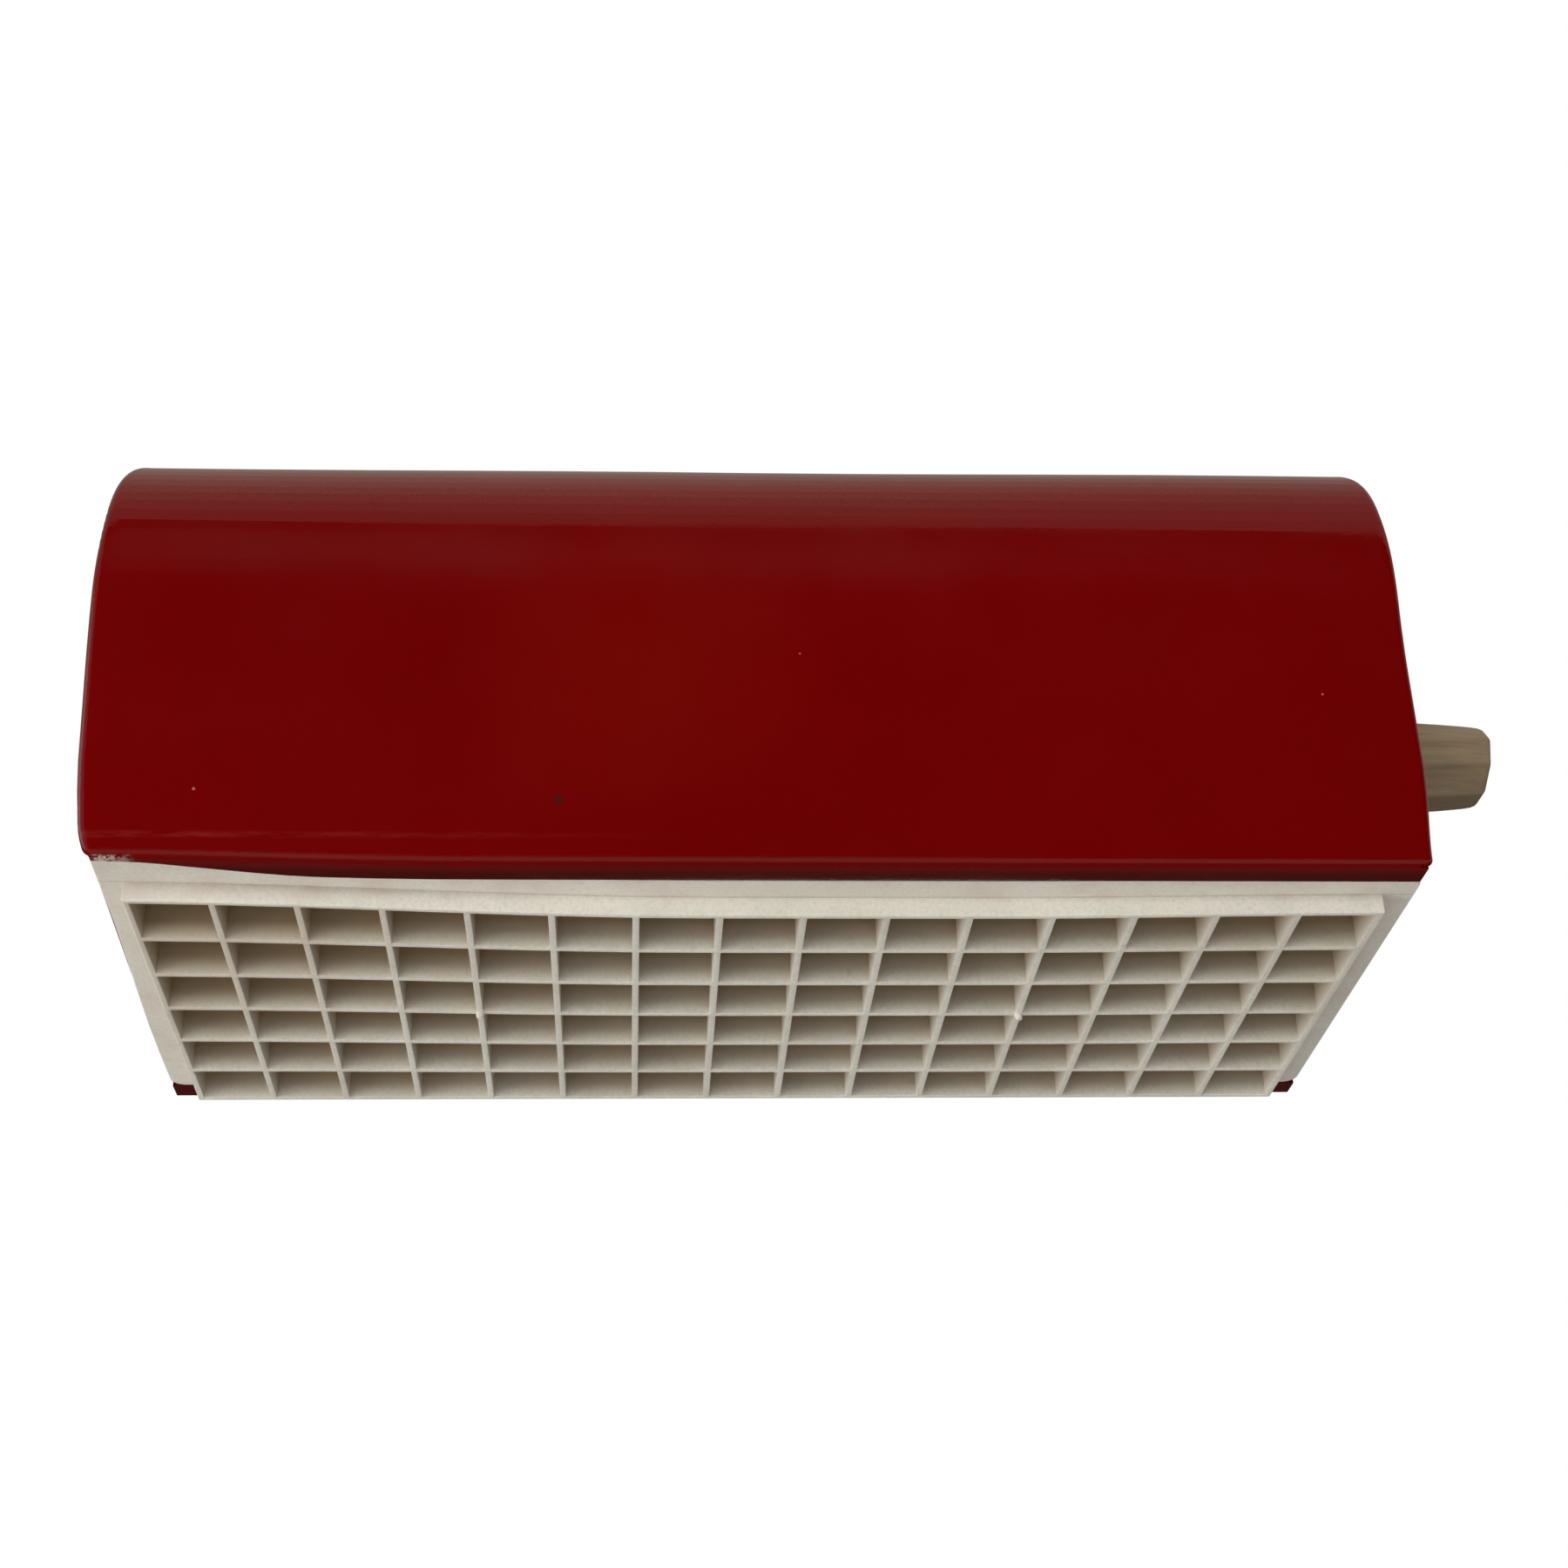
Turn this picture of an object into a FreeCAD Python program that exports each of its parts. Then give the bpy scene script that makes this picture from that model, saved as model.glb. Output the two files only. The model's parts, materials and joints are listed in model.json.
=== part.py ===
import FreeCAD, Part
import math
import os
import Sketcher

# Wall lamp for a bed head: red sheet-steel hood, cream egg-crate louvre below it, rotary switch
# with a knob on the right end, lampholder and bulb inside.
# Millimetres. X runs along the lamp, the wall is the plane y = 0, the front faces -Y, Z is up.
# The origin lies midway between the two wall screws, on the wall.

DIMENSIONS = [
    # hood
    ("hood_width", 240.0),
    ("hood_depth", 112.0),
    ("hood_height", 107.5),
    ("hood_top_radius", 52.0),
    ("hood_sheet", 0.8),
    ("hood_wall_gap", 0.5),
    ("cap_rim", 2.4),
    ("cap_edge_radius", 1.6),
    ("front_lip", 7.0),
    ("lip_bend_radius", 1.6),
    ("lip_relief_length", 32.0),
    ("lip_relief_depth", 4.5),
    # back plate and its fixings
    ("mount_rise", 70.0),
    ("plate_sheet", 1.0),
    ("plate_fit", 0.2),
    ("rear_lip", 5.5),
    ("top_flange", 10.0),
    ("ear_width", 16.0),
    ("ear_depth", 14.0),
    ("ear_rise", 66.0),
    ("wall_screw_spacing", 180.0),
    ("wall_screw_hole", 4.6),
    ("hood_screw_diameter", 4.0),
    ("hood_screw_head", 7.5),
    ("hood_screw_head_height", 2.4),
    ("hood_screw_length", 6.0),
    ("screw_fit", 0.05),
    ("clear_fit", 0.2),
    ("slot_width", 1.0),
    ("slot_depth", 1.1),
    # louvre
    ("cell_pitch", 15.0),
    ("cell_columns", 15.0),
    ("cell_rows", 6.0),
    ("rib", 1.3),
    ("rib_height", 12.0),
    ("louvre_drop", 3.6),
    ("louvre_fit", 0.5),
    ("flange_thickness", 1.6),
    ("flange_corner", 3.0),
    ("rear_ledge", 0.5),
    ("lug_width", 12.0),
    ("lug_reach", 3.5),
    ("lug_root", 5.0),
    ("lug_thickness", 1.8),
    ("lug_spacing", 72.0),
    ("gate_diameter", 2.2),
    ("gate_length", 1.2),
    # switch and knob
    ("switch_setback", 47.0),
    ("switch_rise", 45.0),
    ("bush_diameter", 10.0),
    ("bush_length", 5.0),
    ("bush_collar", 14.0),
    ("bush_collar_thickness", 1.5),
    ("washer_diameter", 17.0),
    ("washer_thickness", 0.8),
    ("nut_flats", 13.0),
    ("nut_height", 2.5),
    ("spindle_diameter", 6.0),
    ("spindle_flat", 0.6),
    ("shaft_fit", 0.05),
    ("housing_size", 27.0),
    ("housing_depth", 15.0),
    ("housing_wall", 2.0),
    ("housing_corner", 3.0),
    ("base_thickness", 4.0),
    ("rotor_diameter", 15.0),
    ("rotor_thickness", 5.0),
    ("rotor_flat", 1.2),
    ("contact_width", 5.0),
    ("contact_thickness", 0.5),
    ("contact_height", 8.5),
    ("contact_gap", 0.5),
    ("switch_terminal_diameter", 3.5),
    ("switch_terminal_length", 5.0),
    ("knob_gap", 1.2),
    ("knob_length", 28.4),
    ("knob_base_radius", 9.3),
    ("knob_end_radius", 7.2),
    ("knob_flats", 17.4),
    ("knob_side_curve", 150.0),
    ("knob_end_round", 3.2),
    ("knob_recess_diameter", 15.4),
    ("knob_bore_depth", 20.0),
    ("knob_screw_diameter", 3.0),
    ("knob_screw_length", 5.0),
    ("knob_screw_reach", 11.0),
    # lampholder and bulb
    ("bulb_setback", 54.0),
    ("bulb_rise", 62.0),
    ("bulb_diameter", 45.0),
    ("bulb_wall", 0.8),
    ("bulb_neck_length", 37.0),
    ("bulb_neck_fit", 0.1),
    ("bulb_shoulder", 11.25),
    ("bulb_flare_gap", 1.5),
    ("bulb_cap_diameter", 13.9),
    ("bulb_cap_length", 18.0),
    ("bulb_cap_wall", 0.6),
    ("bulb_cap_lap", 3.0),
    ("button_diameter", 5.0),
    ("button_height", 1.5),
    ("shell_clearance", 0.2),
    ("shell_wall", 0.5),
    ("skirt_diameter", 26.0),
    ("skirt_wall", 2.5),
    ("skirt_overhang", 1.5),
    ("core_thickness", 7.0),
    ("core_fit", 0.15),
    ("centre_contact_width", 5.0),
    ("centre_contact_thickness", 0.5),
    ("holder_cap_diameter", 28.0),
    ("holder_cap_wall", 2.5),
    ("holder_cap_depth", 14.0),
    ("nipple_diameter", 10.0),
    ("nipple_bore", 7.0),
    ("nipple_length", 12.0),
    ("nipple_nut_height", 3.0),
    ("bracket_sheet", 1.5),
    ("bracket_width", 30.0),
    ("bracket_foot", 26.0),
    ("bracket_overhang", 12.0),
    ("bracket_bend", 3.0),
    # terminal block and leads
    ("block_length", 24.0),
    ("block_height", 16.0),
    ("block_depth", 13.0),
    ("block_clearance", 17.0),
    ("block_bore", 4.2),
    ("block_pitch", 14.0),
    ("sleeve_wall", 0.7),
    ("sleeve_fit", 0.1),
    ("terminal_screw_diameter", 2.5),
    ("terminal_screw_length", 5.0),
    ("block_screw_diameter", 3.0),
    ("block_screw_head", 5.5),
    ("block_screw_head_height", 2.0),
    ("block_nut_flats", 5.5),
    ("block_nut_height", 2.4),
    ("lead_diameter", 2.2),
    ("lead_spread", 1.6),
    ("lead_block_run", 11.0),
    ("lead_switch_run", 18.0),
    # cord entry
    ("entry_rise", 42.0),
    ("entry_setback", 16.0),
    ("entry_hole", 10.0),
    ("grommet_flange", 14.0),
    ("grommet_bore", 6.5),
    ("grommet_lip", 1.6),
    ("grommet_fit", 0.1),
]

doc = FreeCAD.newDocument("wall_lamp")
sheet = doc.addObject("Spreadsheet::Sheet", "dims")


class Size:
    # a length with its value and the expression that gives it from the sheet
    def __init__(self, value, text):
        self.value = value
        self.text = text

    def __add__(self, other):
        other = size(other)
        return Size(self.value + other.value, f"({self.text} + {other.text})")

    def __sub__(self, other):
        other = size(other)
        return Size(self.value - other.value, f"({self.text} - {other.text})")

    def __mul__(self, other):
        other = size(other)
        return Size(self.value * other.value, f"({self.text} * {other.text})")

    def __truediv__(self, other):
        other = size(other)
        return Size(self.value / other.value, f"({self.text} / {other.text})")

    def __neg__(self):
        return Size(-self.value, f"(0 - {self.text})")


def size(number):
    if isinstance(number, Size):
        return number
    return Size(float(number), f"({float(number)!r})")


class Dims:
    pass


dims = Dims()
for row, (alias, number) in enumerate(DIMENSIONS, 1):
    sheet.set(f"A{row}", alias)
    sheet.set(f"B{row}", str(number))
    sheet.setAlias(f"B{row}", alias)
    setattr(dims, alias, Size(number, f"dims.{alias}"))
doc.recompute()

nodes = []
ALONG = {
    "x": FreeCAD.Rotation(FreeCAD.Vector(0, 1, 0), 90),
    "y": FreeCAD.Rotation(FreeCAD.Vector(1, 0, 0), -90),
    "z": FreeCAD.Rotation(),
}


def bind(item, **values):
    for name, value in values.items():
        item.setExpression(name, size(value).text)


def place(item, x, y, z, turn=None):
    item.Placement = FreeCAD.Placement(FreeCAD.Vector(x.value, y.value, z.value), turn or FreeCAD.Rotation())
    for axis, value in (("x", x), ("y", y), ("z", z)):
        item.setExpression(f"Placement.Base.{axis}", value.text)


def block(name, x, y, z):
    # a box from its lowest and highest corner values on each axis
    item = doc.addObject("Part::Box", name)
    bind(item, Length=x[1] - x[0], Width=y[1] - y[0], Height=z[1] - z[0])
    place(item, size(x[0]), size(y[0]), size(z[0]))
    return item


def axis_point(axis, along, centre):
    a, b = centre
    return {"x": (along, a, b), "y": (a, along, b), "z": (a, b, along)}[axis]


def rod(name, axis, diameter, span, centre):
    # a cylinder along an axis, between two places on it
    item = doc.addObject("Part::Cylinder", name)
    bind(item, Radius=diameter / 2, Height=span[1] - span[0])
    place(item, *[size(v) for v in axis_point(axis, span[0], centre)], ALONG[axis])
    return item


def taper(name, axis, diameters, span, centre):
    item = doc.addObject("Part::Cone", name)
    bind(item, Radius1=diameters[0] / 2, Radius2=diameters[1] / 2, Height=span[1] - span[0])
    place(item, *[size(v) for v in axis_point(axis, span[0], centre)], ALONG[axis])
    return item


def prism(name, axis, flats, sides, span, centre):
    # a regular bar, given by its width across flats
    item = doc.addObject("Part::Prism", name)
    item.Polygon = sides
    bind(item, Circumradius=flats / (2 * math.cos(math.pi / sides)), Height=span[1] - span[0])
    place(item, *[size(v) for v in axis_point(axis, span[0], centre)], ALONG[axis])
    return item


def ball(name, diameter, centre):
    item = doc.addObject("Part::Sphere", name)
    bind(item, Radius=diameter / 2)
    place(item, *[size(v) for v in centre])
    return item


def fuse(name, *parts):
    item = doc.addObject("Part::MultiFuse", name)
    item.Shapes = list(parts)
    item.Refine = True
    return item


def cut(name, base, *tools):
    item = doc.addObject("Part::Cut", name)
    item.Base = base
    item.Tool = tools[0] if len(tools) == 1 else fuse(f"{name}_tools", *tools)
    return item


def common(name, first, second):
    item = doc.addObject("Part::MultiCommon", name)
    item.Shapes = [first, second]
    return item


def tube(name, axis, diameter, bore, span, centre):
    return cut(name, rod(f"{name}_outside", axis, diameter, span, centre),
               rod(f"{name}_bore", axis, bore, span, centre))


def node(item, label):
    item.Label = label
    nodes.append(item)
    return item


def arc_centre(start, end, radius, turn):
    # centre of a round way of less than a half circle; turn is 1 for a left turn and -1 for a right turn
    chord = end - start
    rise = math.sqrt(max(radius ** 2 - chord.Length ** 2 / 4, 0))
    side = FreeCAD.Vector(-chord.y, chord.x, 0).normalize()
    return (start + end) / 2 + side * rise * turn


def outline(sketch, path):
    # a closed outline: each step is a point, and for a round way to it also a radius and a turn
    points = [FreeCAD.Vector(size(step[0]).value, size(step[1]).value, 0) for step in path]
    ends = []
    for index, step in enumerate(path):
        start, end = points[index - 1], points[index]
        if len(step) == 2:
            ends.append((sketch.addGeometry(Part.LineSegment(start, end)), 1, 2))
            continue
        radius, turn = size(step[2]), step[3]
        centre = arc_centre(start, end, radius.value, turn)
        first, last = (start, end) if turn > 0 else (end, start)
        angles = [math.atan2(p.y - centre.y, p.x - centre.x) for p in (first, last)]
        circle = Part.Circle(centre, FreeCAD.Vector(0, 0, 1), radius.value)
        curve = sketch.addGeometry(Part.ArcOfCircle(circle, *angles))
        ends.append((curve, 1, 2) if turn > 0 else (curve, 2, 1))
        held = sketch.addConstraint(Sketcher.Constraint("Radius", curve, radius.value))
        sketch.setExpression(f"Constraints[{held}]", radius.text)
    for index, step in enumerate(path):
        curve, _, tip = ends[index]
        following, root, _ = ends[(index + 1) % len(path)]
        sketch.addConstraint(Sketcher.Constraint("Coincident", curve, tip, following, root))
        for kind, value in (("DistanceX", size(step[0])), ("DistanceY", size(step[1]))):
            held = sketch.addConstraint(Sketcher.Constraint(kind, -1, 1, curve, tip, value.value))
            sketch.setExpression(f"Constraints[{held}]", value.text)


def sketched(name, plane, path):
    # a body with one sketch on an origin plane
    body = doc.addObject("PartDesign::Body", name)
    sketch = body.newObject("Sketcher::SketchObject", f"{name}_sketch")
    support = next(f for f in body.Origin.OriginFeatures if f.Role == plane)
    sketch.AttachmentSupport = (support, [""])
    sketch.MapMode = "FlatFace"
    outline(sketch, path)
    return body, sketch


def padded(name, plane, path, length, at):
    body, sketch = sketched(name, plane, path)
    pad = body.newObject("PartDesign::Pad", f"{name}_pad")
    pad.Profile = sketch
    bind(pad, Length=length)
    place(body, *[size(v) for v in at])
    return body


# Places that several pieces share
half_width = dims.hood_width / 2
lip_z = -dims.mount_rise
top_z = dims.hood_height - dims.mount_rise
arc_z = top_z - dims.hood_top_radius
front_y = -dims.hood_depth
arc_y = front_y + dims.hood_top_radius
rear_y = -dims.hood_wall_gap
cap_inside = half_width - dims.hood_sheet
switch_y = front_y + dims.switch_setback
switch_z = lip_z + dims.switch_rise
switch_axis = (switch_y, switch_z)
bulb_y = front_y + dims.bulb_setback
bulb_z = lip_z + dims.bulb_rise
bulb_axis = (bulb_y, bulb_z)
ear_z = lip_z + dims.ear_rise
ear_y = -dims.ear_depth / 2
entry_axis = (-dims.entry_setback, lip_z + dims.entry_rise)
ZERO = size(0)


# Hood: one bent sheet for front and top, with a lip turned in along the bottom of the front
bend_in = dims.lip_bend_radius - dims.hood_sheet
inner_front = front_y + dims.hood_sheet
hood_path = [
    (front_y + dims.front_lip, lip_z),
    (front_y + dims.front_lip, lip_z + dims.hood_sheet),
    (front_y + dims.lip_bend_radius, lip_z + dims.hood_sheet),
    (inner_front, lip_z + dims.lip_bend_radius, bend_in, -1),
    (inner_front, arc_z),
    (arc_y, top_z - dims.hood_sheet, dims.hood_top_radius - dims.hood_sheet, -1),
    (rear_y, top_z - dims.hood_sheet),
    (rear_y, top_z),
    (arc_y, top_z),
    (front_y, arc_z, dims.hood_top_radius, 1),
    (front_y, lip_z + dims.lip_bend_radius),
    (front_y + dims.lip_bend_radius, lip_z, dims.lip_bend_radius, 1),
]
shell_half = half_width - dims.cap_rim
bent_sheet = padded("bent_sheet", "YZ_Plane", hood_path, shell_half * 2, (-shell_half, ZERO, ZERO))
lip_ends = [
    block(f"lip_end_{side}", span, (front_y + dims.lip_bend_radius, front_y + dims.front_lip),
          (lip_z, lip_z + dims.hood_sheet))
    for side, span in (("left", (-cap_inside, -shell_half)), ("right", (shell_half, cap_inside)))
]
# the lip runs out in a shallow hollow at its left end
relief_radius = (dims.lip_relief_length * dims.lip_relief_length / dims.lip_relief_depth
                 + dims.lip_relief_depth) / 2
relief_y = front_y + dims.front_lip - dims.lip_relief_depth + relief_radius
relief = rod("lip_relief", "z", relief_radius * 2, (lip_z - dims.hood_sheet, lip_z + dims.hood_sheet),
             (-cap_inside, relief_y))
hood_shell = node(cut("hood_shell", fuse("lipped_sheet", bent_sheet, *lip_ends), relief), "hood_shell")


# End caps: shallow pans, welded flush to the ends of the bent sheet
def cap_path(inset, bottom, rear):
    front, top = front_y + inset, top_z - inset
    return [(front, arc_z), (arc_y, top, dims.hood_top_radius - inset, -1), (rear, top), (rear, bottom)]


def end_cap(side):
    name = f"end_cap_{side}"
    outer_path = cap_path(ZERO, lip_z, rear_y) + [
        (front_y + dims.lip_bend_radius, lip_z),
        (front_y, lip_z + dims.lip_bend_radius, dims.lip_bend_radius, -1),
    ]
    start = shell_half if side == "right" else -half_width
    outer = padded(f"{name}_outside", "YZ_Plane", outer_path, dims.cap_rim, (start, ZERO, ZERO))
    doc.recompute()
    face_x = dims.cap_rim.value if side == "right" else 0.0
    turned = []
    for number, edge in enumerate(outer.Shape.Edges, 1):
        middle = edge.CenterOfMass - FreeCAD.Vector(start.value, 0, 0)
        on_face = abs(middle.x - face_x) < 1e-6
        at_bottom = middle.z < lip_z.value + dims.lip_bend_radius.value
        at_rear = abs(middle.y - rear_y.value) < 1e-6
        if on_face and not at_bottom and not at_rear:
            turned.append(number)
    pad = outer.Tip
    rounded = outer.newObject("PartDesign::Fillet", f"{name}_edge")
    rounded.Base = (pad, [f"Edge{number}" for number in turned])
    bind(rounded, Radius=dims.cap_edge_radius)
    below, behind = lip_z - dims.cap_rim, rear_y + dims.cap_rim
    inner_path = cap_path(dims.hood_sheet, below, behind) + [(front_y + dims.hood_sheet, below)]
    inner_start = shell_half - dims.cap_rim if side == "right" else -cap_inside
    inner = padded(f"{name}_inside", "YZ_Plane", inner_path, cap_inside - shell_half + dims.cap_rim,
                   (inner_start, ZERO, ZERO))
    reach = (cap_inside - dims.cap_rim, half_width + dims.cap_rim)
    reach = reach if side == "right" else (-reach[1], -reach[0])
    holes = [rod(f"{name}_screw_hole", "x", dims.hood_screw_diameter + dims.clear_fit * 2, reach,
                 (ear_y, ear_z))]
    if side == "right":
        holes.append(rod("bush_hole", "x", dims.bush_diameter + dims.clear_fit * 2, reach, switch_axis))
    else:
        holes.append(rod("entry_hole", "x", dims.entry_hole, reach, entry_axis))
    return node(cut(name, outer, inner, *holes), name)


end_cap("left")
end_cap("right")


# Back plate: a channel with a lip below the louvre's rear edge, a flange under the hood's top
# and an ear each side
plate_half = cap_inside - dims.plate_fit
plate_top = top_z - dims.hood_sheet - dims.plate_fit
plate_path = [
    (ZERO, lip_z),
    (ZERO, plate_top),
    (-dims.top_flange, plate_top),
    (-dims.top_flange, plate_top - dims.plate_sheet),
    (-dims.plate_sheet, plate_top - dims.plate_sheet),
    (-dims.plate_sheet, lip_z + dims.plate_sheet),
    (-dims.rear_lip, lip_z + dims.plate_sheet),
    (-dims.rear_lip, lip_z),
]
channel = padded("plate_channel", "YZ_Plane", plate_path, plate_half * 2, (-plate_half, ZERO, ZERO))
ear_span_z = (ear_z - dims.ear_width / 2, ear_z + dims.ear_width / 2)
ears = [
    block(f"plate_ear_{side}", span, (-dims.ear_depth, ZERO), ear_span_z)
    for side, span in (("left", (-plate_half, -plate_half + dims.plate_sheet)),
                       ("right", (plate_half - dims.plate_sheet, plate_half)))
]
through_plate = (-dims.plate_sheet * 2, dims.plate_sheet)
plate_holes = []
for side, sign in (("left", -1), ("right", 1)):
    x = dims.wall_screw_spacing * sign / 2
    plate_holes.append(rod(f"wall_screw_hole_{side}", "y", dims.wall_screw_hole, through_plate, (x, ZERO)))
    ear_reach = (plate_half - dims.plate_sheet * 2, plate_half + dims.plate_sheet)
    ear_reach = ear_reach if sign > 0 else (-ear_reach[1], -ear_reach[0])
    plate_holes.append(rod(f"ear_thread_{side}", "x", dims.hood_screw_diameter + dims.screw_fit * 2,
                           ear_reach, (ear_y, ear_z)))
node(cut("back_plate", fuse("plate_sheet_metal", channel, *ears), *plate_holes), "back_plate")


# Hood screws: one through each end cap into the plate's ear
def hood_screw(side, sign):
    face = half_width * sign
    tip = face - (dims.hood_screw_length * sign)
    crown = face + (dims.hood_screw_head_height * sign)
    spans = [(tip, face), (face, crown)] if sign > 0 else [(face, tip), (crown, face)]
    shank = rod(f"hood_screw_shank_{side}", "x", dims.hood_screw_diameter, spans[0], (ear_y, ear_z))
    head = rod(f"hood_screw_head_{side}", "x", dims.hood_screw_head, spans[1], (ear_y, ear_z))
    floor = crown - dims.slot_depth * sign
    slot_x = (floor, crown) if sign > 0 else (crown, floor)
    half = dims.hood_screw_head
    slot = block(f"hood_screw_slot_{side}", slot_x, (ear_y - half, ear_y + half),
                 (ear_z - dims.slot_width / 2, ear_z + dims.slot_width / 2))
    return cut(f"hood_screw_{side}", fuse(f"hood_screw_blank_{side}", shank, head), slot)


def group(name, parts):
    item = doc.addObject("Part::Compound", name)
    item.Links = parts
    return node(item, name)


group("hood_screws", [hood_screw("left", -1), hood_screw("right", 1)])


# Louvre: a moulded grid of cells that stands below a flange, with lugs that lie on the two lips
grid_half = (dims.cell_columns * dims.cell_pitch + dims.rib) / 2
grid_rear = -(dims.rear_lip + dims.louvre_fit + dims.rear_ledge)
grid_front = grid_rear - dims.cell_rows * dims.cell_pitch - dims.rib
rib_bottom = lip_z - dims.louvre_drop
rib_top = rib_bottom + dims.rib_height
flange_half = cap_inside - dims.louvre_fit
flange_front = front_y + dims.front_lip + dims.louvre_fit
flange_rear = -(dims.rear_lip + dims.louvre_fit)
flange_top = lip_z + dims.flange_thickness
corner = dims.flange_corner
flange_path = [
    (flange_half - corner, flange_front),
    (flange_half, flange_front + corner, corner, 1),
    (flange_half, flange_rear - corner),
    (flange_half - corner, flange_rear, corner, 1),
    (-flange_half + corner, flange_rear),
    (-flange_half, flange_rear - corner, corner, 1),
    (-flange_half, flange_front + corner),
    (-flange_half + corner, flange_front, corner, 1),
]
flange = padded("louvre_flange", "XY_Plane", flange_path, dims.flange_thickness, (ZERO, ZERO, lip_z))
window = block("louvre_window", (-grid_half, grid_half), (grid_front, grid_rear),
               (lip_z - dims.flange_thickness, flange_top + dims.flange_thickness))
louvre_parts = [cut("louvre_frame", flange, window)]
# the flange fills the hollow at the left end of the front lip
relief_fill = rod("flange_fill_round", "z", (relief_radius - dims.louvre_fit) * 2, (lip_z, flange_top),
                  (-cap_inside, relief_y))
fill_room = block("flange_fill_room", (-flange_half, -cap_inside + dims.lip_relief_length),
                  (front_y, flange_front + corner), (lip_z, flange_top))
louvre_parts.append(common("flange_fill", relief_fill, fill_room))
for number in range(int(dims.cell_columns.value) + 1):
    left = -grid_half + dims.cell_pitch * number
    louvre_parts.append(block(f"cross_rib_{number}", (left, left + dims.rib), (grid_front, grid_rear),
                              (rib_bottom, rib_top)))
for number in range(int(dims.cell_rows.value) + 1):
    near = grid_front + dims.cell_pitch * number
    louvre_parts.append(block(f"long_rib_{number}", (-grid_half, grid_half), (near, near + dims.rib),
                              (rib_bottom, rib_top)))
front_seat = lip_z + dims.hood_sheet
rear_seat = lip_z + dims.plate_sheet
for number in (-1, 0, 1):
    x = dims.lug_spacing * number
    lug_x = (x - dims.lug_width / 2, x + dims.lug_width / 2)
    louvre_parts.append(block(f"front_lug_{number + 1}", lug_x,
                              (flange_front - dims.lug_reach, flange_front + dims.lug_root),
                              (front_seat, front_seat + dims.lug_thickness)))
    louvre_parts.append(block(f"rear_lug_{number + 1}", lug_x, (grid_rear, flange_rear + dims.lug_reach),
                              (rear_seat, rear_seat + dims.lug_thickness)))
GATE_RIBS = ((4, 3), (11, 3))
for cross, along in GATE_RIBS:
    x = -grid_half + dims.cell_pitch * cross + dims.rib / 2
    y = grid_front + dims.cell_pitch * along + dims.rib / 2
    louvre_parts.append(rod(f"gate_nub_{cross}", "z", dims.gate_diameter,
                            (rib_bottom - dims.gate_length, rib_bottom + dims.rib), (x, y)))
node(fuse("louvre", *louvre_parts), "louvre")


# Rotary switch behind the right end cap, held by its bush and a nut outside
washer_in = cap_inside - dims.washer_thickness
housing_back = washer_in - dims.housing_depth
half = dims.housing_size / 2
round_off = dims.housing_corner


def square_path(reach, radius):
    # a square with round corners, centred on the origin of its sketch
    return [
        (reach - radius, -reach),
        (reach, -reach + radius, radius, 1),
        (reach, reach - radius),
        (reach - radius, reach, radius, 1),
        (-reach + radius, reach),
        (-reach, reach - radius, radius, 1),
        (-reach, -reach + radius),
        (-reach + radius, -reach, radius, 1),
    ]


housing_block = padded("housing_block", "YZ_Plane", square_path(half, round_off), dims.housing_depth,
                       (housing_back, switch_y, switch_z))
cavity_half = half - dims.housing_wall
cavity = padded("housing_cavity", "YZ_Plane", square_path(cavity_half, round_off - dims.housing_wall),
                dims.housing_depth - dims.housing_wall, (housing_back, switch_y, switch_z))
collar_back = washer_in - dims.housing_wall - dims.bush_collar_thickness
bush_end = half_width + dims.bush_length
node(cut("switch_housing", housing_block, cavity,
         rod("housing_bush_hole", "x", dims.bush_diameter + dims.screw_fit * 2,
             (housing_back, half_width), switch_axis)), "switch_housing")

bush_blank = fuse("bush_blank",
                  rod("bush_barrel", "x", dims.bush_diameter, (collar_back, bush_end), switch_axis),
                  rod("bush_flange", "x", dims.bush_collar,
                      (collar_back, collar_back + dims.bush_collar_thickness), switch_axis))
spindle_hole = dims.spindle_diameter + dims.shaft_fit * 2
node(cut("switch_bush", bush_blank,
         rod("bush_bore", "x", spindle_hole, (collar_back - dims.bush_length, bush_end + dims.bush_length),
             switch_axis)), "switch_bush")

node(tube("switch_washer", "x", dims.washer_diameter, dims.bush_diameter + dims.clear_fit * 2,
          (washer_in, cap_inside), switch_axis), "switch_washer")
nut_out = half_width + dims.nut_height
node(cut("switch_nut", prism("nut_blank", "x", dims.nut_flats, 6, (half_width, nut_out), switch_axis),
         rod("nut_thread", "x", dims.bush_diameter + dims.screw_fit * 2,
             (half_width - dims.nut_height, nut_out + dims.nut_height), switch_axis)), "switch_nut")

base_back = housing_back - dims.base_thickness
node(padded("switch_base", "YZ_Plane", square_path(half, round_off), dims.base_thickness,
            (base_back, switch_y, switch_z)), "switch_base")

rotor_back = collar_back - dims.contact_gap - dims.rotor_thickness
knob_base = half_width + dims.knob_gap
spindle_end = knob_base + dims.knob_bore_depth
flat_y = switch_y + dims.spindle_diameter / 2 - dims.spindle_flat
spindle_bar = rod("spindle_bar", "x", dims.spindle_diameter, (rotor_back, spindle_end), switch_axis)
spindle_side = block("spindle_side", (bush_end, spindle_end + dims.spindle_diameter),
                     (flat_y, switch_y + dims.spindle_diameter),
                     (switch_z - dims.spindle_diameter, switch_z + dims.spindle_diameter))
node(cut("switch_spindle", spindle_bar, spindle_side), "switch_spindle")

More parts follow.
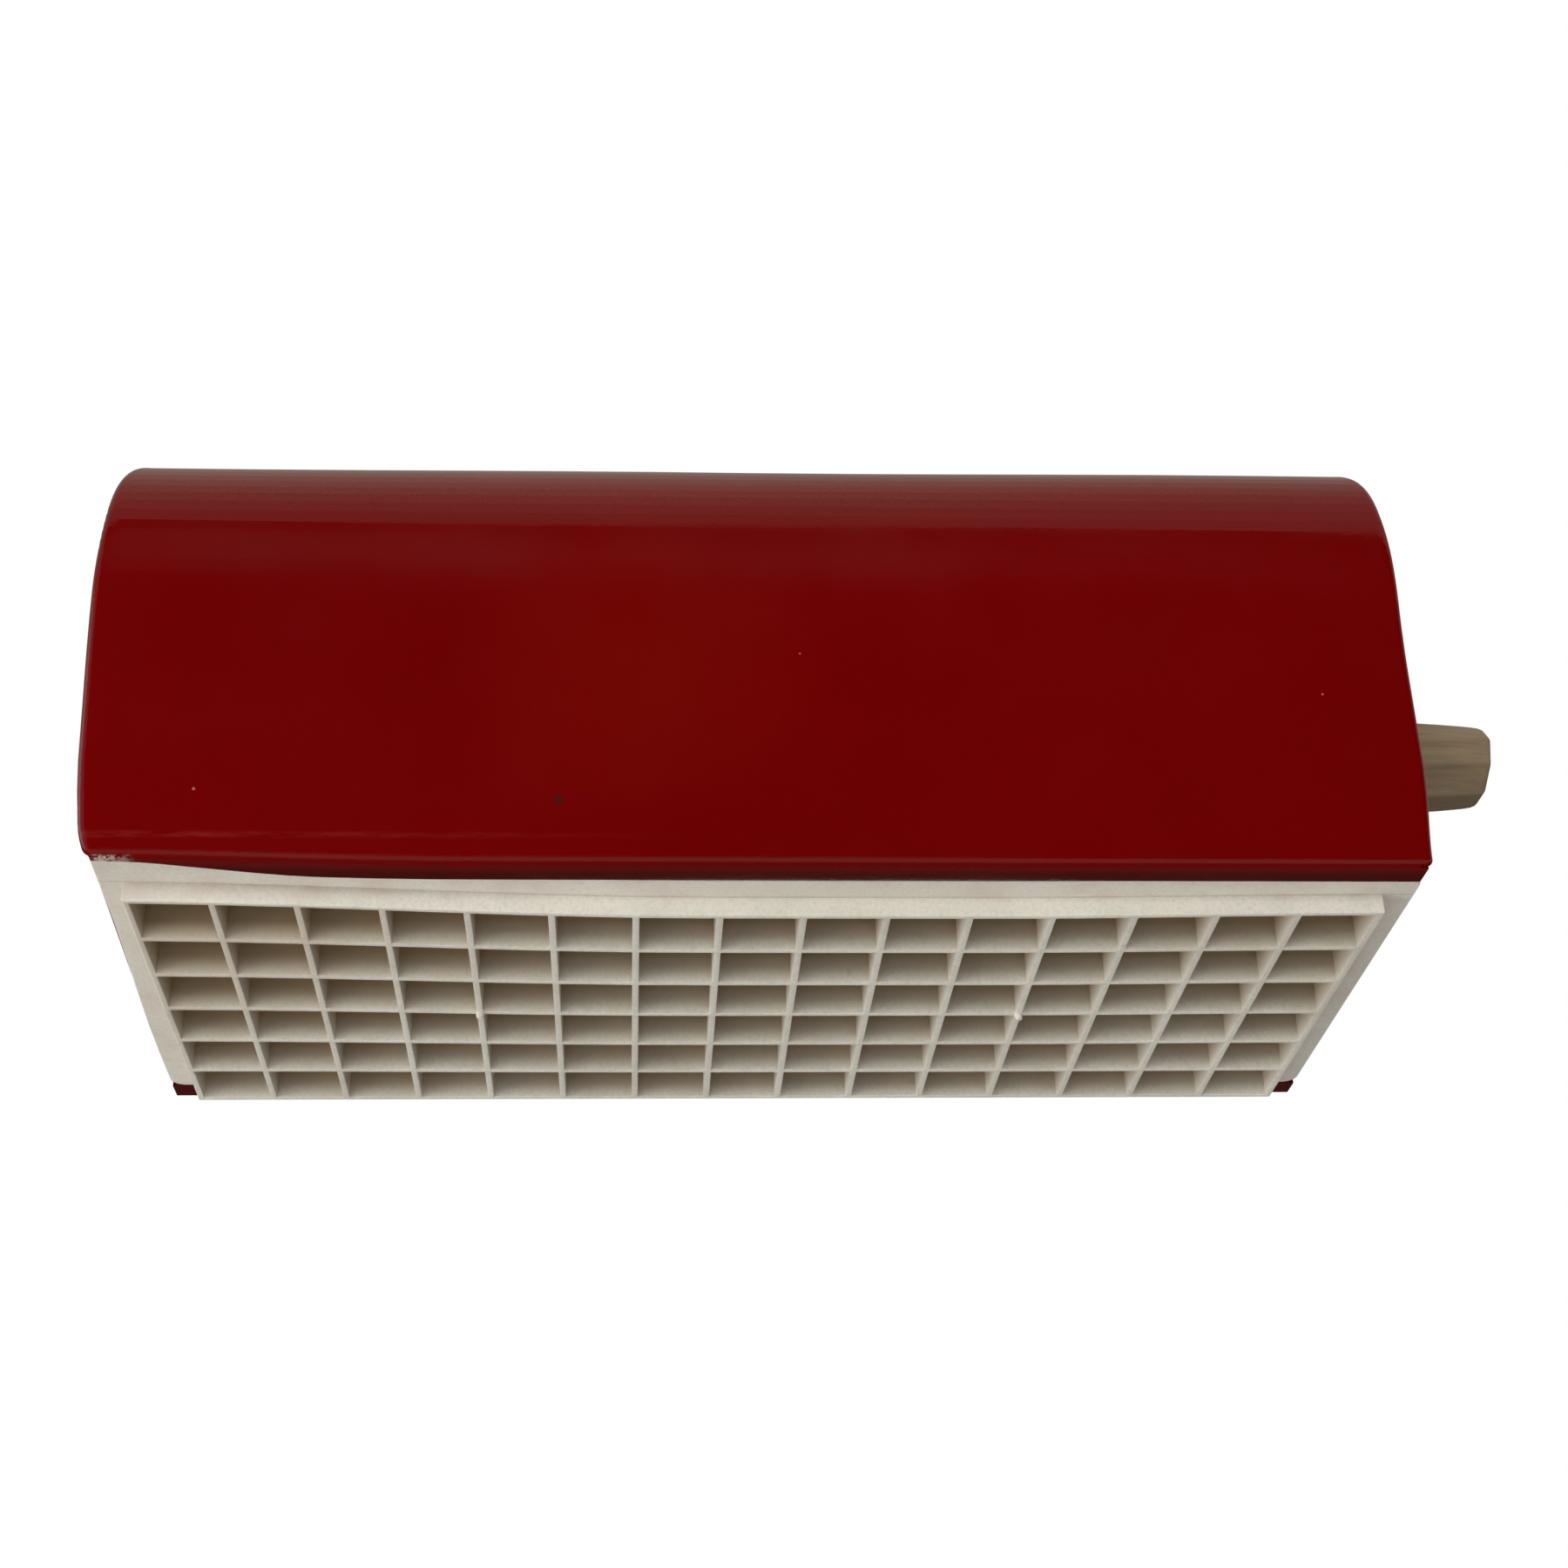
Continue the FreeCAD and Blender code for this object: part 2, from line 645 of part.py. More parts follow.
rotor_span = (rotor_back, rotor_back + dims.rotor_thickness)
rotor_disc = rod("rotor_disc", "x", dims.rotor_diameter, rotor_span, switch_axis)
rotor_flat = dims.rotor_diameter - dims.rotor_flat * 2
rotor_cam = common("rotor_cam", rotor_disc, prism("rotor_bar", "x", rotor_flat, 4, rotor_span, switch_axis))
node(cut("switch_rotor", rotor_cam, rod("rotor_bore", "x", spindle_hole, rotor_span, switch_axis)),
     "switch_rotor")

contact_parts = []
for side, sign in (("front", -1), ("rear", 1)):
    inner = switch_y + (dims.rotor_diameter / 2 + dims.contact_gap) * sign
    outer = inner + dims.contact_thickness * sign
    contact_parts.append(block(f"contact_{side}", (housing_back, housing_back + dims.contact_height),
                               (inner, outer) if sign > 0 else (outer, inner),
                               (switch_z - dims.contact_width / 2, switch_z + dims.contact_width / 2)))
group("switch_contacts", contact_parts)

terminal_parts = []
terminal_y = {}
for side, sign in (("front", -1), ("rear", 1)):
    terminal_y[side] = switch_y + half * sign / 2
    terminal_parts.append(tube(f"switch_terminal_{side}", "x", dims.switch_terminal_diameter,
                               dims.lead_diameter + dims.screw_fit * 2,
                               (base_back - dims.switch_terminal_length, base_back),
                               (terminal_y[side], switch_z)))
group("switch_terminals", terminal_parts)


# Knob: eight flats on a barrel that narrows to a rounded end
knob_path = [
    (ZERO, ZERO),
    (dims.knob_length, ZERO),
    (dims.knob_length, dims.knob_end_radius),
    (ZERO, dims.knob_base_radius, dims.knob_side_curve, 1),
]
barrel, barrel_sketch = sketched("knob_barrel", "XZ_Plane", knob_path)
turned = barrel.newObject("PartDesign::Revolution", "knob_turning")
turned.Profile = barrel_sketch
turned.ReferenceAxis = (barrel_sketch, ["H_Axis"])
turned.Angle = 360
doc.recompute()
end_edges = [
    number for number, edge in enumerate(barrel.Shape.Edges, 1)
    if abs(edge.BoundBox.XMin - dims.knob_length.value) < 1e-6 and edge.BoundBox.XLength < 1e-6
]
end_round = barrel.newObject("PartDesign::Fillet", "knob_end_rounding")
end_round.Base = (turned, [f"Edge{number}" for number in end_edges])
bind(end_round, Radius=dims.knob_end_round)
place(barrel, knob_base, switch_y, switch_z)
flats = prism("knob_flats_bar", "x", dims.knob_flats, 8, (knob_base, knob_base + dims.knob_length),
              switch_axis)
recess_depth = half_width + dims.bush_length + dims.knob_gap - knob_base
screw_x = knob_base + dims.knob_screw_reach
screw_inner = flat_y
screw_outer = screw_inner + dims.knob_screw_length
knob_tools = [
    rod("knob_recess", "x", dims.knob_recess_diameter, (half_width, knob_base + recess_depth), switch_axis),
    rod("knob_bore", "x", spindle_hole, (half_width, spindle_end), switch_axis),
    rod("knob_screw_hole", "y", dims.knob_screw_diameter + dims.screw_fit * 2,
        (switch_y, switch_y + dims.knob_flats), (screw_x, switch_z)),
]
node(cut("knob", common("knob_form", barrel, flats), *knob_tools), "knob")
knob_screw_bar = rod("knob_screw_bar", "y", dims.knob_screw_diameter, (screw_inner, screw_outer),
                     (screw_x, switch_z))
knob_screw_slot = block("knob_screw_slot",
                        (screw_x - dims.knob_screw_diameter, screw_x + dims.knob_screw_diameter),
                        (screw_outer - dims.slot_depth, screw_outer),
                        (switch_z - dims.slot_width / 2, switch_z + dims.slot_width / 2))
node(cut("knob_screw", knob_screw_bar, knob_screw_slot), "knob_screw")


# Bulb: glass ball with a neck, and a screw cap with its contact button; the ball sits on the lamp's middle
glass_centre = (ZERO, bulb_y, bulb_z)
neck_end = -dims.bulb_neck_length
neck_diameter = dims.bulb_cap_diameter - (dims.bulb_cap_wall + dims.bulb_neck_fit) * 2
flare_start = neck_end + dims.bulb_cap_lap + dims.bulb_flare_gap
flare_end = -dims.bulb_shoulder
flare_share = math.sqrt(1 - (2 * dims.bulb_shoulder.value / dims.bulb_diameter.value) ** 2)


def glass_form(name, inset):
    across = dims.bulb_diameter - inset * 2
    neck = neck_diameter - inset * 2
    return fuse(name, ball(f"{name}_ball", across, glass_centre),
                taper(f"{name}_flare", "x", (neck, across * flare_share), (flare_start, flare_end),
                      bulb_axis),
                rod(f"{name}_neck", "x", neck, (neck_end, flare_start), bulb_axis))


node(cut("bulb_glass", glass_form("glass_outside", ZERO), glass_form("glass_inside", dims.bulb_wall)),
     "bulb_glass")
cap_front = neck_end + dims.bulb_cap_lap
cap_back = cap_front - dims.bulb_cap_length
cap_cup = cut("bulb_cap_cup",
              rod("bulb_cap_outside", "x", dims.bulb_cap_diameter, (cap_back, cap_front), bulb_axis),
              rod("bulb_cap_inside", "x", dims.bulb_cap_diameter - dims.bulb_cap_wall * 2,
                  (cap_back + dims.bulb_cap_wall, cap_front), bulb_axis))
button_back = cap_back - dims.button_height
button = rod("bulb_button", "x", dims.button_diameter, (button_back, cap_back), bulb_axis)
node(fuse("bulb_cap", cap_cup, button), "bulb_cap")


# Lampholder: core with screw shell and centre contact, between a cap and a skirt
core_front = button_back - dims.centre_contact_thickness
core_back = core_front - dims.core_thickness
shell_bore = dims.bulb_cap_diameter + dims.shell_clearance * 2
shell_outside = shell_bore + dims.shell_wall * 2
shell_front = cap_front - dims.bulb_cap_lap
node(tube("screw_shell", "x", shell_outside, shell_bore, (core_front, shell_front), bulb_axis),
     "screw_shell")
contact_half = dims.centre_contact_width / 2
node(block("centre_contact", (core_front, button_back), (bulb_y - contact_half, bulb_y + contact_half),
           (bulb_z - contact_half, bulb_z + contact_half)), "centre_contact")
skirt_bore = dims.skirt_diameter - dims.skirt_wall * 2
skirt_front = shell_front + dims.skirt_overhang
node(tube("lampholder_skirt", "x", dims.skirt_diameter, skirt_bore, (core_front, skirt_front), bulb_axis),
     "lampholder_skirt")
cap_bore = dims.holder_cap_diameter - dims.holder_cap_wall * 2
node(rod("lampholder_core", "x", cap_bore - dims.core_fit * 2, (core_back, core_front), bulb_axis),
     "lampholder_core")
holder_back = core_front - dims.holder_cap_depth
node(cut("lampholder_cap",
         rod("holder_cap_outside", "x", dims.holder_cap_diameter, (holder_back, core_front), bulb_axis),
         rod("holder_cap_inside", "x", cap_bore, (holder_back + dims.holder_cap_wall, core_front),
             bulb_axis),
         rod("holder_cap_thread", "x", dims.nipple_diameter + dims.screw_fit * 2,
             (holder_back - dims.holder_cap_wall, core_front), bulb_axis)), "lampholder_cap")
leg_front = holder_back
leg_back = leg_front - dims.bracket_sheet
nipple_front = holder_back + dims.holder_cap_wall
nipple_back = nipple_front - dims.nipple_length
node(tube("holder_nipple", "x", dims.nipple_diameter, dims.nipple_bore, (nipple_back, nipple_front),
          bulb_axis), "holder_nipple")
nipple_nut_back = leg_back - dims.nipple_nut_height
node(cut("holder_nut",
         prism("holder_nut_blank", "x", dims.nut_flats, 6, (nipple_nut_back, leg_back), bulb_axis),
         rod("holder_nut_thread", "x", dims.nipple_diameter + dims.screw_fit * 2,
             (nipple_nut_back - dims.nipple_nut_height, leg_front), bulb_axis)), "holder_nut")

# Bracket: a bent strip, its foot welded to the back plate, its leg carrying holder and terminal block
plate_face = -dims.plate_sheet
leg_tip = bulb_y - dims.bracket_overhang
foot_end = leg_back + dims.bracket_foot
bracket_path = [
    (leg_back, leg_tip),
    (leg_front, leg_tip),
    (leg_front, plate_face - dims.bracket_bend),
    (leg_back + dims.bracket_bend, plate_face - dims.bracket_sheet,
     dims.bracket_bend - dims.bracket_sheet, -1),
    (foot_end, plate_face - dims.bracket_sheet),
    (foot_end, plate_face),
    (leg_back + dims.bracket_bend, plate_face),
    (leg_back, plate_face - dims.bracket_bend, dims.bracket_bend, 1),
]
strip = padded("bracket_strip", "XY_Plane", bracket_path, dims.bracket_width,
               (ZERO, ZERO, bulb_z - dims.bracket_width / 2))
block_front = bulb_y + dims.block_clearance
block_rear = block_front + dims.block_length
block_y = (block_rear + block_front) / 2
leg_reach = (leg_back - dims.bracket_sheet, leg_front + dims.bracket_sheet)
block_screw_axis = (block_y, bulb_z)
node(cut("holder_bracket", strip,
         rod("bracket_nipple_hole", "x", dims.nipple_diameter + dims.clear_fit * 2, leg_reach, bulb_axis),
         rod("bracket_block_hole", "x", dims.block_screw_diameter + dims.clear_fit * 2, leg_reach,
             block_screw_axis)), "holder_bracket")


# Terminal block on the bracket's leg: two brass sleeves, each with two screws, in a moulded block
block_back = leg_back - dims.block_depth
sleeve_x = (block_back + leg_back) / 2
sleeve_outside = dims.block_bore
block_z = (bulb_z - dims.block_height / 2, bulb_z + dims.block_height / 2)
block_holes = [
    rod("block_screw_hole", "x", dims.block_screw_diameter + dims.clear_fit * 2,
        (block_back - dims.bracket_sheet, leg_front), block_screw_axis),
]
sleeves, terminal_screws = [], []
sleeve_y = {}
for side, sign in (("front", -1), ("rear", 1)):
    y = block_y + dims.block_pitch * sign / 2
    sleeve_y[side] = y
    block_holes.append(rod(f"block_bore_{side}", "z", dims.block_bore + dims.sleeve_fit * 2,
                           (block_z[0] - dims.block_bore, block_z[1] + dims.block_bore), (sleeve_x, y)))
    screw_holes, screws = [], []
    for level, up in (("low", -1), ("high", 1)):
        z = bulb_z + dims.block_height * up / 4
        screw_start = sleeve_x - dims.lead_diameter / 2 - dims.sleeve_fit - dims.terminal_screw_length
        screw_span = (screw_start, screw_start + dims.terminal_screw_length)
        wide = dims.terminal_screw_diameter + dims.screw_fit * 2
        reach = (block_back - dims.bracket_sheet, sleeve_x)
        block_holes.append(rod(f"block_screw_way_{side}_{level}", "x", wide, reach, (y, z)))
        screw_holes.append(rod(f"sleeve_thread_{side}_{level}", "x", wide, reach, (y, z)))
        screw = rod(f"terminal_screw_bar_{side}_{level}", "x", dims.terminal_screw_diameter, screw_span,
                    (y, z))
        slot = block(f"terminal_screw_slot_{side}_{level}",
                     (screw_start, screw_start + dims.slot_depth),
                     (y - dims.terminal_screw_diameter, y + dims.terminal_screw_diameter),
                     (z - dims.slot_width / 4, z + dims.slot_width / 4))
        screws.append(cut(f"terminal_screw_{side}_{level}", screw, slot))
    sleeve = tube(f"sleeve_tube_{side}", "z", sleeve_outside, sleeve_outside - dims.sleeve_wall * 2, block_z,
                  (sleeve_x, y))
    sleeves.append(cut(f"sleeve_{side}", sleeve, *screw_holes))
    terminal_screws.extend(screws)
node(cut("terminal_block", block("block_body", (block_back, leg_back), (block_front, block_rear), block_z),
         *block_holes), "terminal_block")
group("terminal_sleeves", sleeves)
group("terminal_screws", terminal_screws)
block_nut_out = leg_front + dims.block_nut_height
screw_head_out = block_back - dims.block_screw_head_height
block_screw_blank = fuse("block_screw_blank",
                         rod("block_screw_shank", "x", dims.block_screw_diameter,
                             (block_back, block_nut_out), block_screw_axis),
                         rod("block_screw_crown", "x", dims.block_screw_head, (screw_head_out, block_back),
                             block_screw_axis))
node(cut("block_screw", block_screw_blank,
         block("block_screw_slot", (screw_head_out, screw_head_out + dims.slot_depth),
               (block_y - dims.block_screw_head, block_y + dims.block_screw_head),
               (bulb_z - dims.slot_width / 2, bulb_z + dims.slot_width / 2))), "block_screw")
node(cut("block_nut", prism("block_nut_blank", "x", dims.block_nut_flats, 6, (leg_front, block_nut_out),
                            block_screw_axis),
         rod("block_nut_thread", "x", dims.block_screw_diameter + dims.screw_fit * 2,
             (leg_back, block_nut_out + dims.bracket_sheet), block_screw_axis)), "block_nut")


# Cord entry: a rubber grommet in the left end cap
grommet_outer = -half_width - dims.grommet_lip
grommet_inner = -cap_inside + dims.grommet_lip
grommet_body = fuse("grommet_body",
                    rod("grommet_waist", "x", dims.entry_hole - dims.grommet_fit * 2,
                        (grommet_outer, grommet_inner), entry_axis),
                    rod("grommet_outer_lip", "x", dims.grommet_flange, (grommet_outer, -half_width),
                        entry_axis),
                    rod("grommet_inner_lip", "x", dims.grommet_flange, (-cap_inside, grommet_inner),
                        entry_axis))
node(cut("cord_grommet", grommet_body,
         rod("grommet_hole", "x", dims.grommet_bore, (grommet_outer, grommet_inner), entry_axis)),
     "cord_grommet")


TRIM_SHARE = 0.45


def rounded_wire(points):
    # straight runs joined by tangent arcs, each as large as its two runs allow
    edges, radii, start = [], [], points[0]
    for index in range(1, len(points) - 1):
        before, here, after = points[index - 1:index + 2]
        way_in, way_out = here - before, after - here
        turn = way_in.getAngle(way_out)
        trim = TRIM_SHARE * min(way_in.Length, way_out.Length)
        first = here - way_in.normalize() * trim
        last = here + way_out.normalize() * trim
        radius = trim / math.tan(turn / 2)
        radii.append(round(radius, 1))
        bisector = ((first + last) / 2 - here).normalize()
        middle = here + bisector * (radius / math.cos(turn / 2) - radius)
        edges.append(Part.LineSegment(start, first).toShape())
        edges.append(Part.Arc(first, middle, last).toShape())
        start = last
    edges.append(Part.LineSegment(start, points[-1]).toShape())
    return Part.Wire(edges), radii


def lead(name, points):
    route = [FreeCAD.Vector(*[size(v).value for v in point]) for point in points]
    wire, radii = rounded_wire(route)
    ring = Part.Wire(Part.Circle(route[0], route[1] - route[0], dims.lead_diameter.value / 2).toShape())
    item = doc.addObject("Part::Feature", name)
    item.Shape = wire.makePipeShell([ring], True, False)
    expected = math.pi * dims.lead_diameter.value ** 2 / 4 * wire.Length
    print(name, "radii", radii, "volume over section times length", round(item.Shape.Volume / expected, 4))
    return node(item, name)


# Leads: terminal block to switch, switch to lampholder, terminal block to lampholder
block_top, block_bottom = block_z[1], block_z[0]
block_inset = dims.block_height / 4
upper_lead_z = bulb_z + dims.lead_spread
lower_lead_z = bulb_z - dims.lead_spread
rear_terminal = (terminal_y["rear"], switch_z)
front_terminal = (terminal_y["front"], switch_z)
lead("lead_live", [
    (sleeve_x, sleeve_y["rear"], block_top - block_inset),
    (sleeve_x, sleeve_y["rear"], block_top + dims.lead_block_run),
    (-62, -13, 24),
    (-10, -6, 20),
    (40, -8, 14),
    (70, -30, -4),
    (base_back - dims.lead_switch_run, *rear_terminal),
    (base_back, *rear_terminal),
])
lead("lead_switched", [
    (base_back, *front_terminal),
    (base_back - dims.lead_switch_run, *front_terminal),
    (64, -52, 0),
    (40, -14, 26),
    (-10, -9, 30),
    (-60, -16, 31),
    (-92, -34, 20),
    (-94, bulb_y, upper_lead_z),
    (core_back, bulb_y, upper_lead_z),
])
lead("lead_neutral", [
    (sleeve_x, sleeve_y["front"], block_bottom + block_inset),
    (sleeve_x, sleeve_y["front"], block_bottom - dims.lead_block_run),
    (-92, -48, -27),
    (-93, bulb_y, lower_lead_z),
    (core_back, bulb_y, lower_lead_z),
])

doc.recompute()
failed = [item.Name for item in doc.Objects if "Invalid" in item.State or "Error" in item.State]
failed += [item.Name for item in nodes if item.Shape.isNull() or not item.Shape.isValid()]
if failed:
    raise RuntimeError(f"not built: {failed}")
os.makedirs("parts", exist_ok=True)
for item in nodes:
    item.Shape.exportStep(f"parts/{item.Label}.step")
    print(item.Label, len(item.Shape.Solids), round(item.Shape.Volume, 1))
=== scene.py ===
import json
import math
import bpy
import bmesh
from mathutils import Matrix, Vector


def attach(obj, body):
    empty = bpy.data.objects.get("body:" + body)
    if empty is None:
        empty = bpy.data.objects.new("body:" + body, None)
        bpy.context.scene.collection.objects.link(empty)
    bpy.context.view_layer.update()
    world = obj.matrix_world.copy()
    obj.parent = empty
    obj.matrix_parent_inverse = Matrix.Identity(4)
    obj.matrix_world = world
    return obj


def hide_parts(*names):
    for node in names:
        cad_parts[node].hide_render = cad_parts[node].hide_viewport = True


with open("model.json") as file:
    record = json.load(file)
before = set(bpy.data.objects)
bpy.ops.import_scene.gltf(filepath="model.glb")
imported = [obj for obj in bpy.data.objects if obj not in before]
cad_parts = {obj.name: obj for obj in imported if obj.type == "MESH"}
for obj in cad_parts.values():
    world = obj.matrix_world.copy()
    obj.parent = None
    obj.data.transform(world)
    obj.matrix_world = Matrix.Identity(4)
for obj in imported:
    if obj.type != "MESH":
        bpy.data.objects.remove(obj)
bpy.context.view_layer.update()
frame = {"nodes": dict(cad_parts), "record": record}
mm = 0.001


# node helpers that the finishes below share
def newMaterial(name):
    mat = bpy.data.materials.new(name)
    mat.use_nodes = True
    return mat, mat.node_tree, mat.node_tree.nodes["Principled BSDF"]


def feed(tree, socket, value):
    if hasattr(value, "is_output"):
        tree.links.new(value, socket)
    elif isinstance(value, tuple) and len(value) == 3 and socket.type == "RGBA":
        socket.default_value = (*value, 1.0)
    else:
        socket.default_value = value


def addNode(tree, kind, inputs=None, **settings):
    node = tree.nodes.new(kind)
    for key, value in settings.items():
        setattr(node, key, value)
    for key, value in (inputs or {}).items():
        feed(tree, node.inputs[key], value)
    return node


def objectPoint(tree, scale=(1, 1, 1)):
    place = addNode(tree, "ShaderNodeTexCoord").outputs["Object"]
    return addNode(tree, "ShaderNodeMapping", {"Vector": place, "Scale": scale}).outputs["Vector"]


def axesOf(tree, vector):
    return addNode(tree, "ShaderNodeSeparateXYZ", {"Vector": vector}).outputs


def noise(tree, point, scale, detail=3.0, roughness=0.55):
    wanted = {"Vector": point, "Scale": scale, "Detail": detail, "Roughness": roughness}
    return addNode(tree, "ShaderNodeTexNoise", wanted).outputs["Fac"]


def maths(tree, operation, *values):
    return addNode(tree, "ShaderNodeMath", dict(enumerate(values)), operation=operation).outputs[0]


def times(tree, first, second):
    return maths(tree, "MULTIPLY", first, second)


def ramp(tree, value, low, high, first=0.0, last=1.0):
    wanted = {"Value": value, "From Min": low, "From Max": high, "To Min": first, "To Max": last}
    return addNode(tree, "ShaderNodeMapRange", wanted).outputs["Result"]


def mixColor(tree, factor, first, second):
    # sockets 0, 6 and 7 are the factor and the two colours
    return addNode(tree, "ShaderNodeMix", {0: factor, 6: first, 7: second}, data_type="RGBA").outputs[2]


def awayFrom(tree, point, place):
    return addNode(tree, "ShaderNodeVectorMath", {0: point, 1: place}, operation="DISTANCE").outputs["Value"]


def awayFromPlane(tree, axis, level):
    return maths(tree, "ABSOLUTE", maths(tree, "SUBTRACT", axis, level))


noiseRange = (0.2, 0.8)
spotLook = {"grain": (1500.0, 4.0, 0.7), "ragged": 1.4, "outside": 0.5, "inside": 0.15}


def spotMask(tree, point, place, radius):
    # 1 inside a small ragged spot
    ragged = times(tree, noise(tree, point, *spotLook["grain"]), radius * spotLook["ragged"])
    away = maths(tree, "SUBTRACT", awayFrom(tree, point, place), ragged)
    return ramp(tree, away, radius * spotLook["outside"], radius * spotLook["inside"])


def bumpNormal(tree, height, strength, depth, under=None):
    node = addNode(tree, "ShaderNodeBump", {"Height": height, "Strength": strength, "Distance": depth})
    if under:
        tree.links.new(under, node.inputs["Normal"])
    return node.outputs["Normal"]


# red stoving lacquer on the hood, ends and back; a noise is its size, detail and roughness
lacquerLook = {
    "red": (0.131, 0.0003, 0.0005), "deepRed": (0.119, 0.0002, 0.0003), "cloudNoise": (14.0, 4.0),
    "clouds": (0.35, 0.7),
    "cloudRed": (0.138, 0.0016, 0.0007), "cloudPlace": (-0.0243, -0.112, -0.030),
    "cloudReach": (0.05, 0.02), "cloudDrift": 0.03,
    # dust on the top, with a painted sheen mixed into it
    "dustAndSheenRed": (0.30, 0.10, 0.07), "dustAndSheenShare": 0.28, "dustAndSheenNoise": (1700.0, 3.0, 0.7),
    "dustAndSheenGrains": (0.42, 0.72), "dustAndSheenSlope": (0.35, 0.8),
    # painted shade at the lip's inner edge
    "lipShadeRed": (0.062, 0.0003, 0.0004), "lipShadeHeight": (-0.0686, -0.0692), "lipShadeDepth": (-0.1098, -0.1072),
    # a painted highlight line above the bend
    "glintRed": (0.20, 0.018, 0.012), "glintHeight": -0.0648, "glintDrift": 0.0006,
    "glintWidth": (0.0011, 0.0004), "glintRun": (-0.01, -0.1, 0.0, 0.5),
    "glintGrain": (160, 900, 900), "glintNoise": (1.0, 4.0, 0.7), "glintBreaks": (0.38, 0.62),
    "rubbed": (0.50, 0.40, 0.34), "rubbedRun": (-0.1085, -0.1130), "rubbedHeight": (-0.0684, -0.0687),
    "rubbedBack": (-0.1050, -0.1065), "rubbedNoise": (650.0, 4.0, 0.7), "rubbedBreaks": (0.42, 0.52),
    "chipColor": (0.050, 0.006, 0.005), "chips": (((-0.0362, -0.112, -0.0578), 0.0008),),
    "paleColor": (0.33, 0.10, 0.085),
    "pales": (((-0.0995, -0.112, -0.0559), 0.00028), ((0.0071, -0.112, -0.0275), 0.00018),
              ((0.1028, -0.112, -0.0353), 0.0002), ((-0.1192, -0.1098, -0.0592), 0.0010),
              ((-0.1188, -0.1102, -0.0630), 0.0007)),
    "specular": 0.42, "roughness": (0.07, 0.17), "glossNoise": (40.0, 5.0),
    "waveNoise": (60.0, 2.0), "waveStrength": 0.25, "waveDepth": 0.0002,
    "peelNoise": (900.0, 2.0), "peelStrength": 0.5, "peelDepth": 0.00006,
}


def lacquerRed():
    look = lacquerLook
    mat, tree, shader = newMaterial("lacquerRed")
    point = objectPoint(tree)
    x, y, z = axesOf(tree, point)
    cloud = noise(tree, point, *look["cloudNoise"])
    color = mixColor(tree, ramp(tree, cloud, *look["clouds"]), look["red"], look["deepRed"])
    away = maths(tree, "MULTIPLY_ADD", cloud, look["cloudDrift"], awayFrom(tree, point, look["cloudPlace"]))
    color = mixColor(tree, ramp(tree, away, *look["cloudReach"]), color, look["cloudRed"])
    # dust and a painted sheen lie on what faces upwards
    upward = axesOf(tree, addNode(tree, "ShaderNodeNewGeometry").outputs["Normal"])["Z"]
    grains = ramp(tree, noise(tree, point, *look["dustAndSheenNoise"]), *look["dustAndSheenGrains"])
    dustAndSheen = times(tree, grains, ramp(tree, upward, *look["dustAndSheenSlope"]))
    color = mixColor(tree, times(tree, dustAndSheen, look["dustAndSheenShare"]), color, look["dustAndSheenRed"])
    # painted shade darkens the lip's inner edge
    lip = times(tree, ramp(tree, z, *look["lipShadeHeight"]), ramp(tree, y, *look["lipShadeDepth"]))
    color = mixColor(tree, lip, color, look["lipShadeRed"])
    # a broken painted highlight line above the bend
    streak = awayFromPlane(tree, z, look["glintHeight"])
    streak = maths(tree, "MULTIPLY_ADD", cloud, look["glintDrift"], streak)
    streak = times(tree, ramp(tree, streak, *look["glintWidth"]), ramp(tree, x, *look["glintRun"]))
    broken = noise(tree, objectPoint(tree, look["glintGrain"]), *look["glintNoise"])
    streak = times(tree, streak, ramp(tree, broken, *look["glintBreaks"]))
    color = mixColor(tree, streak, color, look["glintRed"])
    # paint rubbed off the knocked corner
    rubbed = times(tree, ramp(tree, x, *look["rubbedRun"]), ramp(tree, z, *look["rubbedHeight"]))
    rubbed = times(tree, rubbed, ramp(tree, y, *look["rubbedBack"]))
    broken = noise(tree, point, *look["rubbedNoise"])
    rubbed = times(tree, rubbed, ramp(tree, broken, *look["rubbedBreaks"]))
    color = mixColor(tree, rubbed, color, look["rubbed"])
    for spots, spotColor in ((look["chips"], look["chipColor"]), (look["pales"], look["paleColor"])):
        for place, radius in spots:
            color = mixColor(tree, spotMask(tree, point, place, radius), color, spotColor)
    tree.links.new(color, shader.inputs["Base Color"])
    gloss = ramp(tree, noise(tree, point, *look["glossNoise"]), *noiseRange, *look["roughness"])
    tree.links.new(gloss, shader.inputs["Roughness"])
    shader.inputs["Specular IOR Level"].default_value = look["specular"]
    waves = noise(tree, point, *look["waveNoise"])
    waves = bumpNormal(tree, waves, look["waveStrength"], look["waveDepth"])
    peel = noise(tree, point, *look["peelNoise"])
    peel = bumpNormal(tree, peel, look["peelStrength"], look["peelDepth"], waves)
    tree.links.new(peel, shader.inputs["Normal"])
    return mat
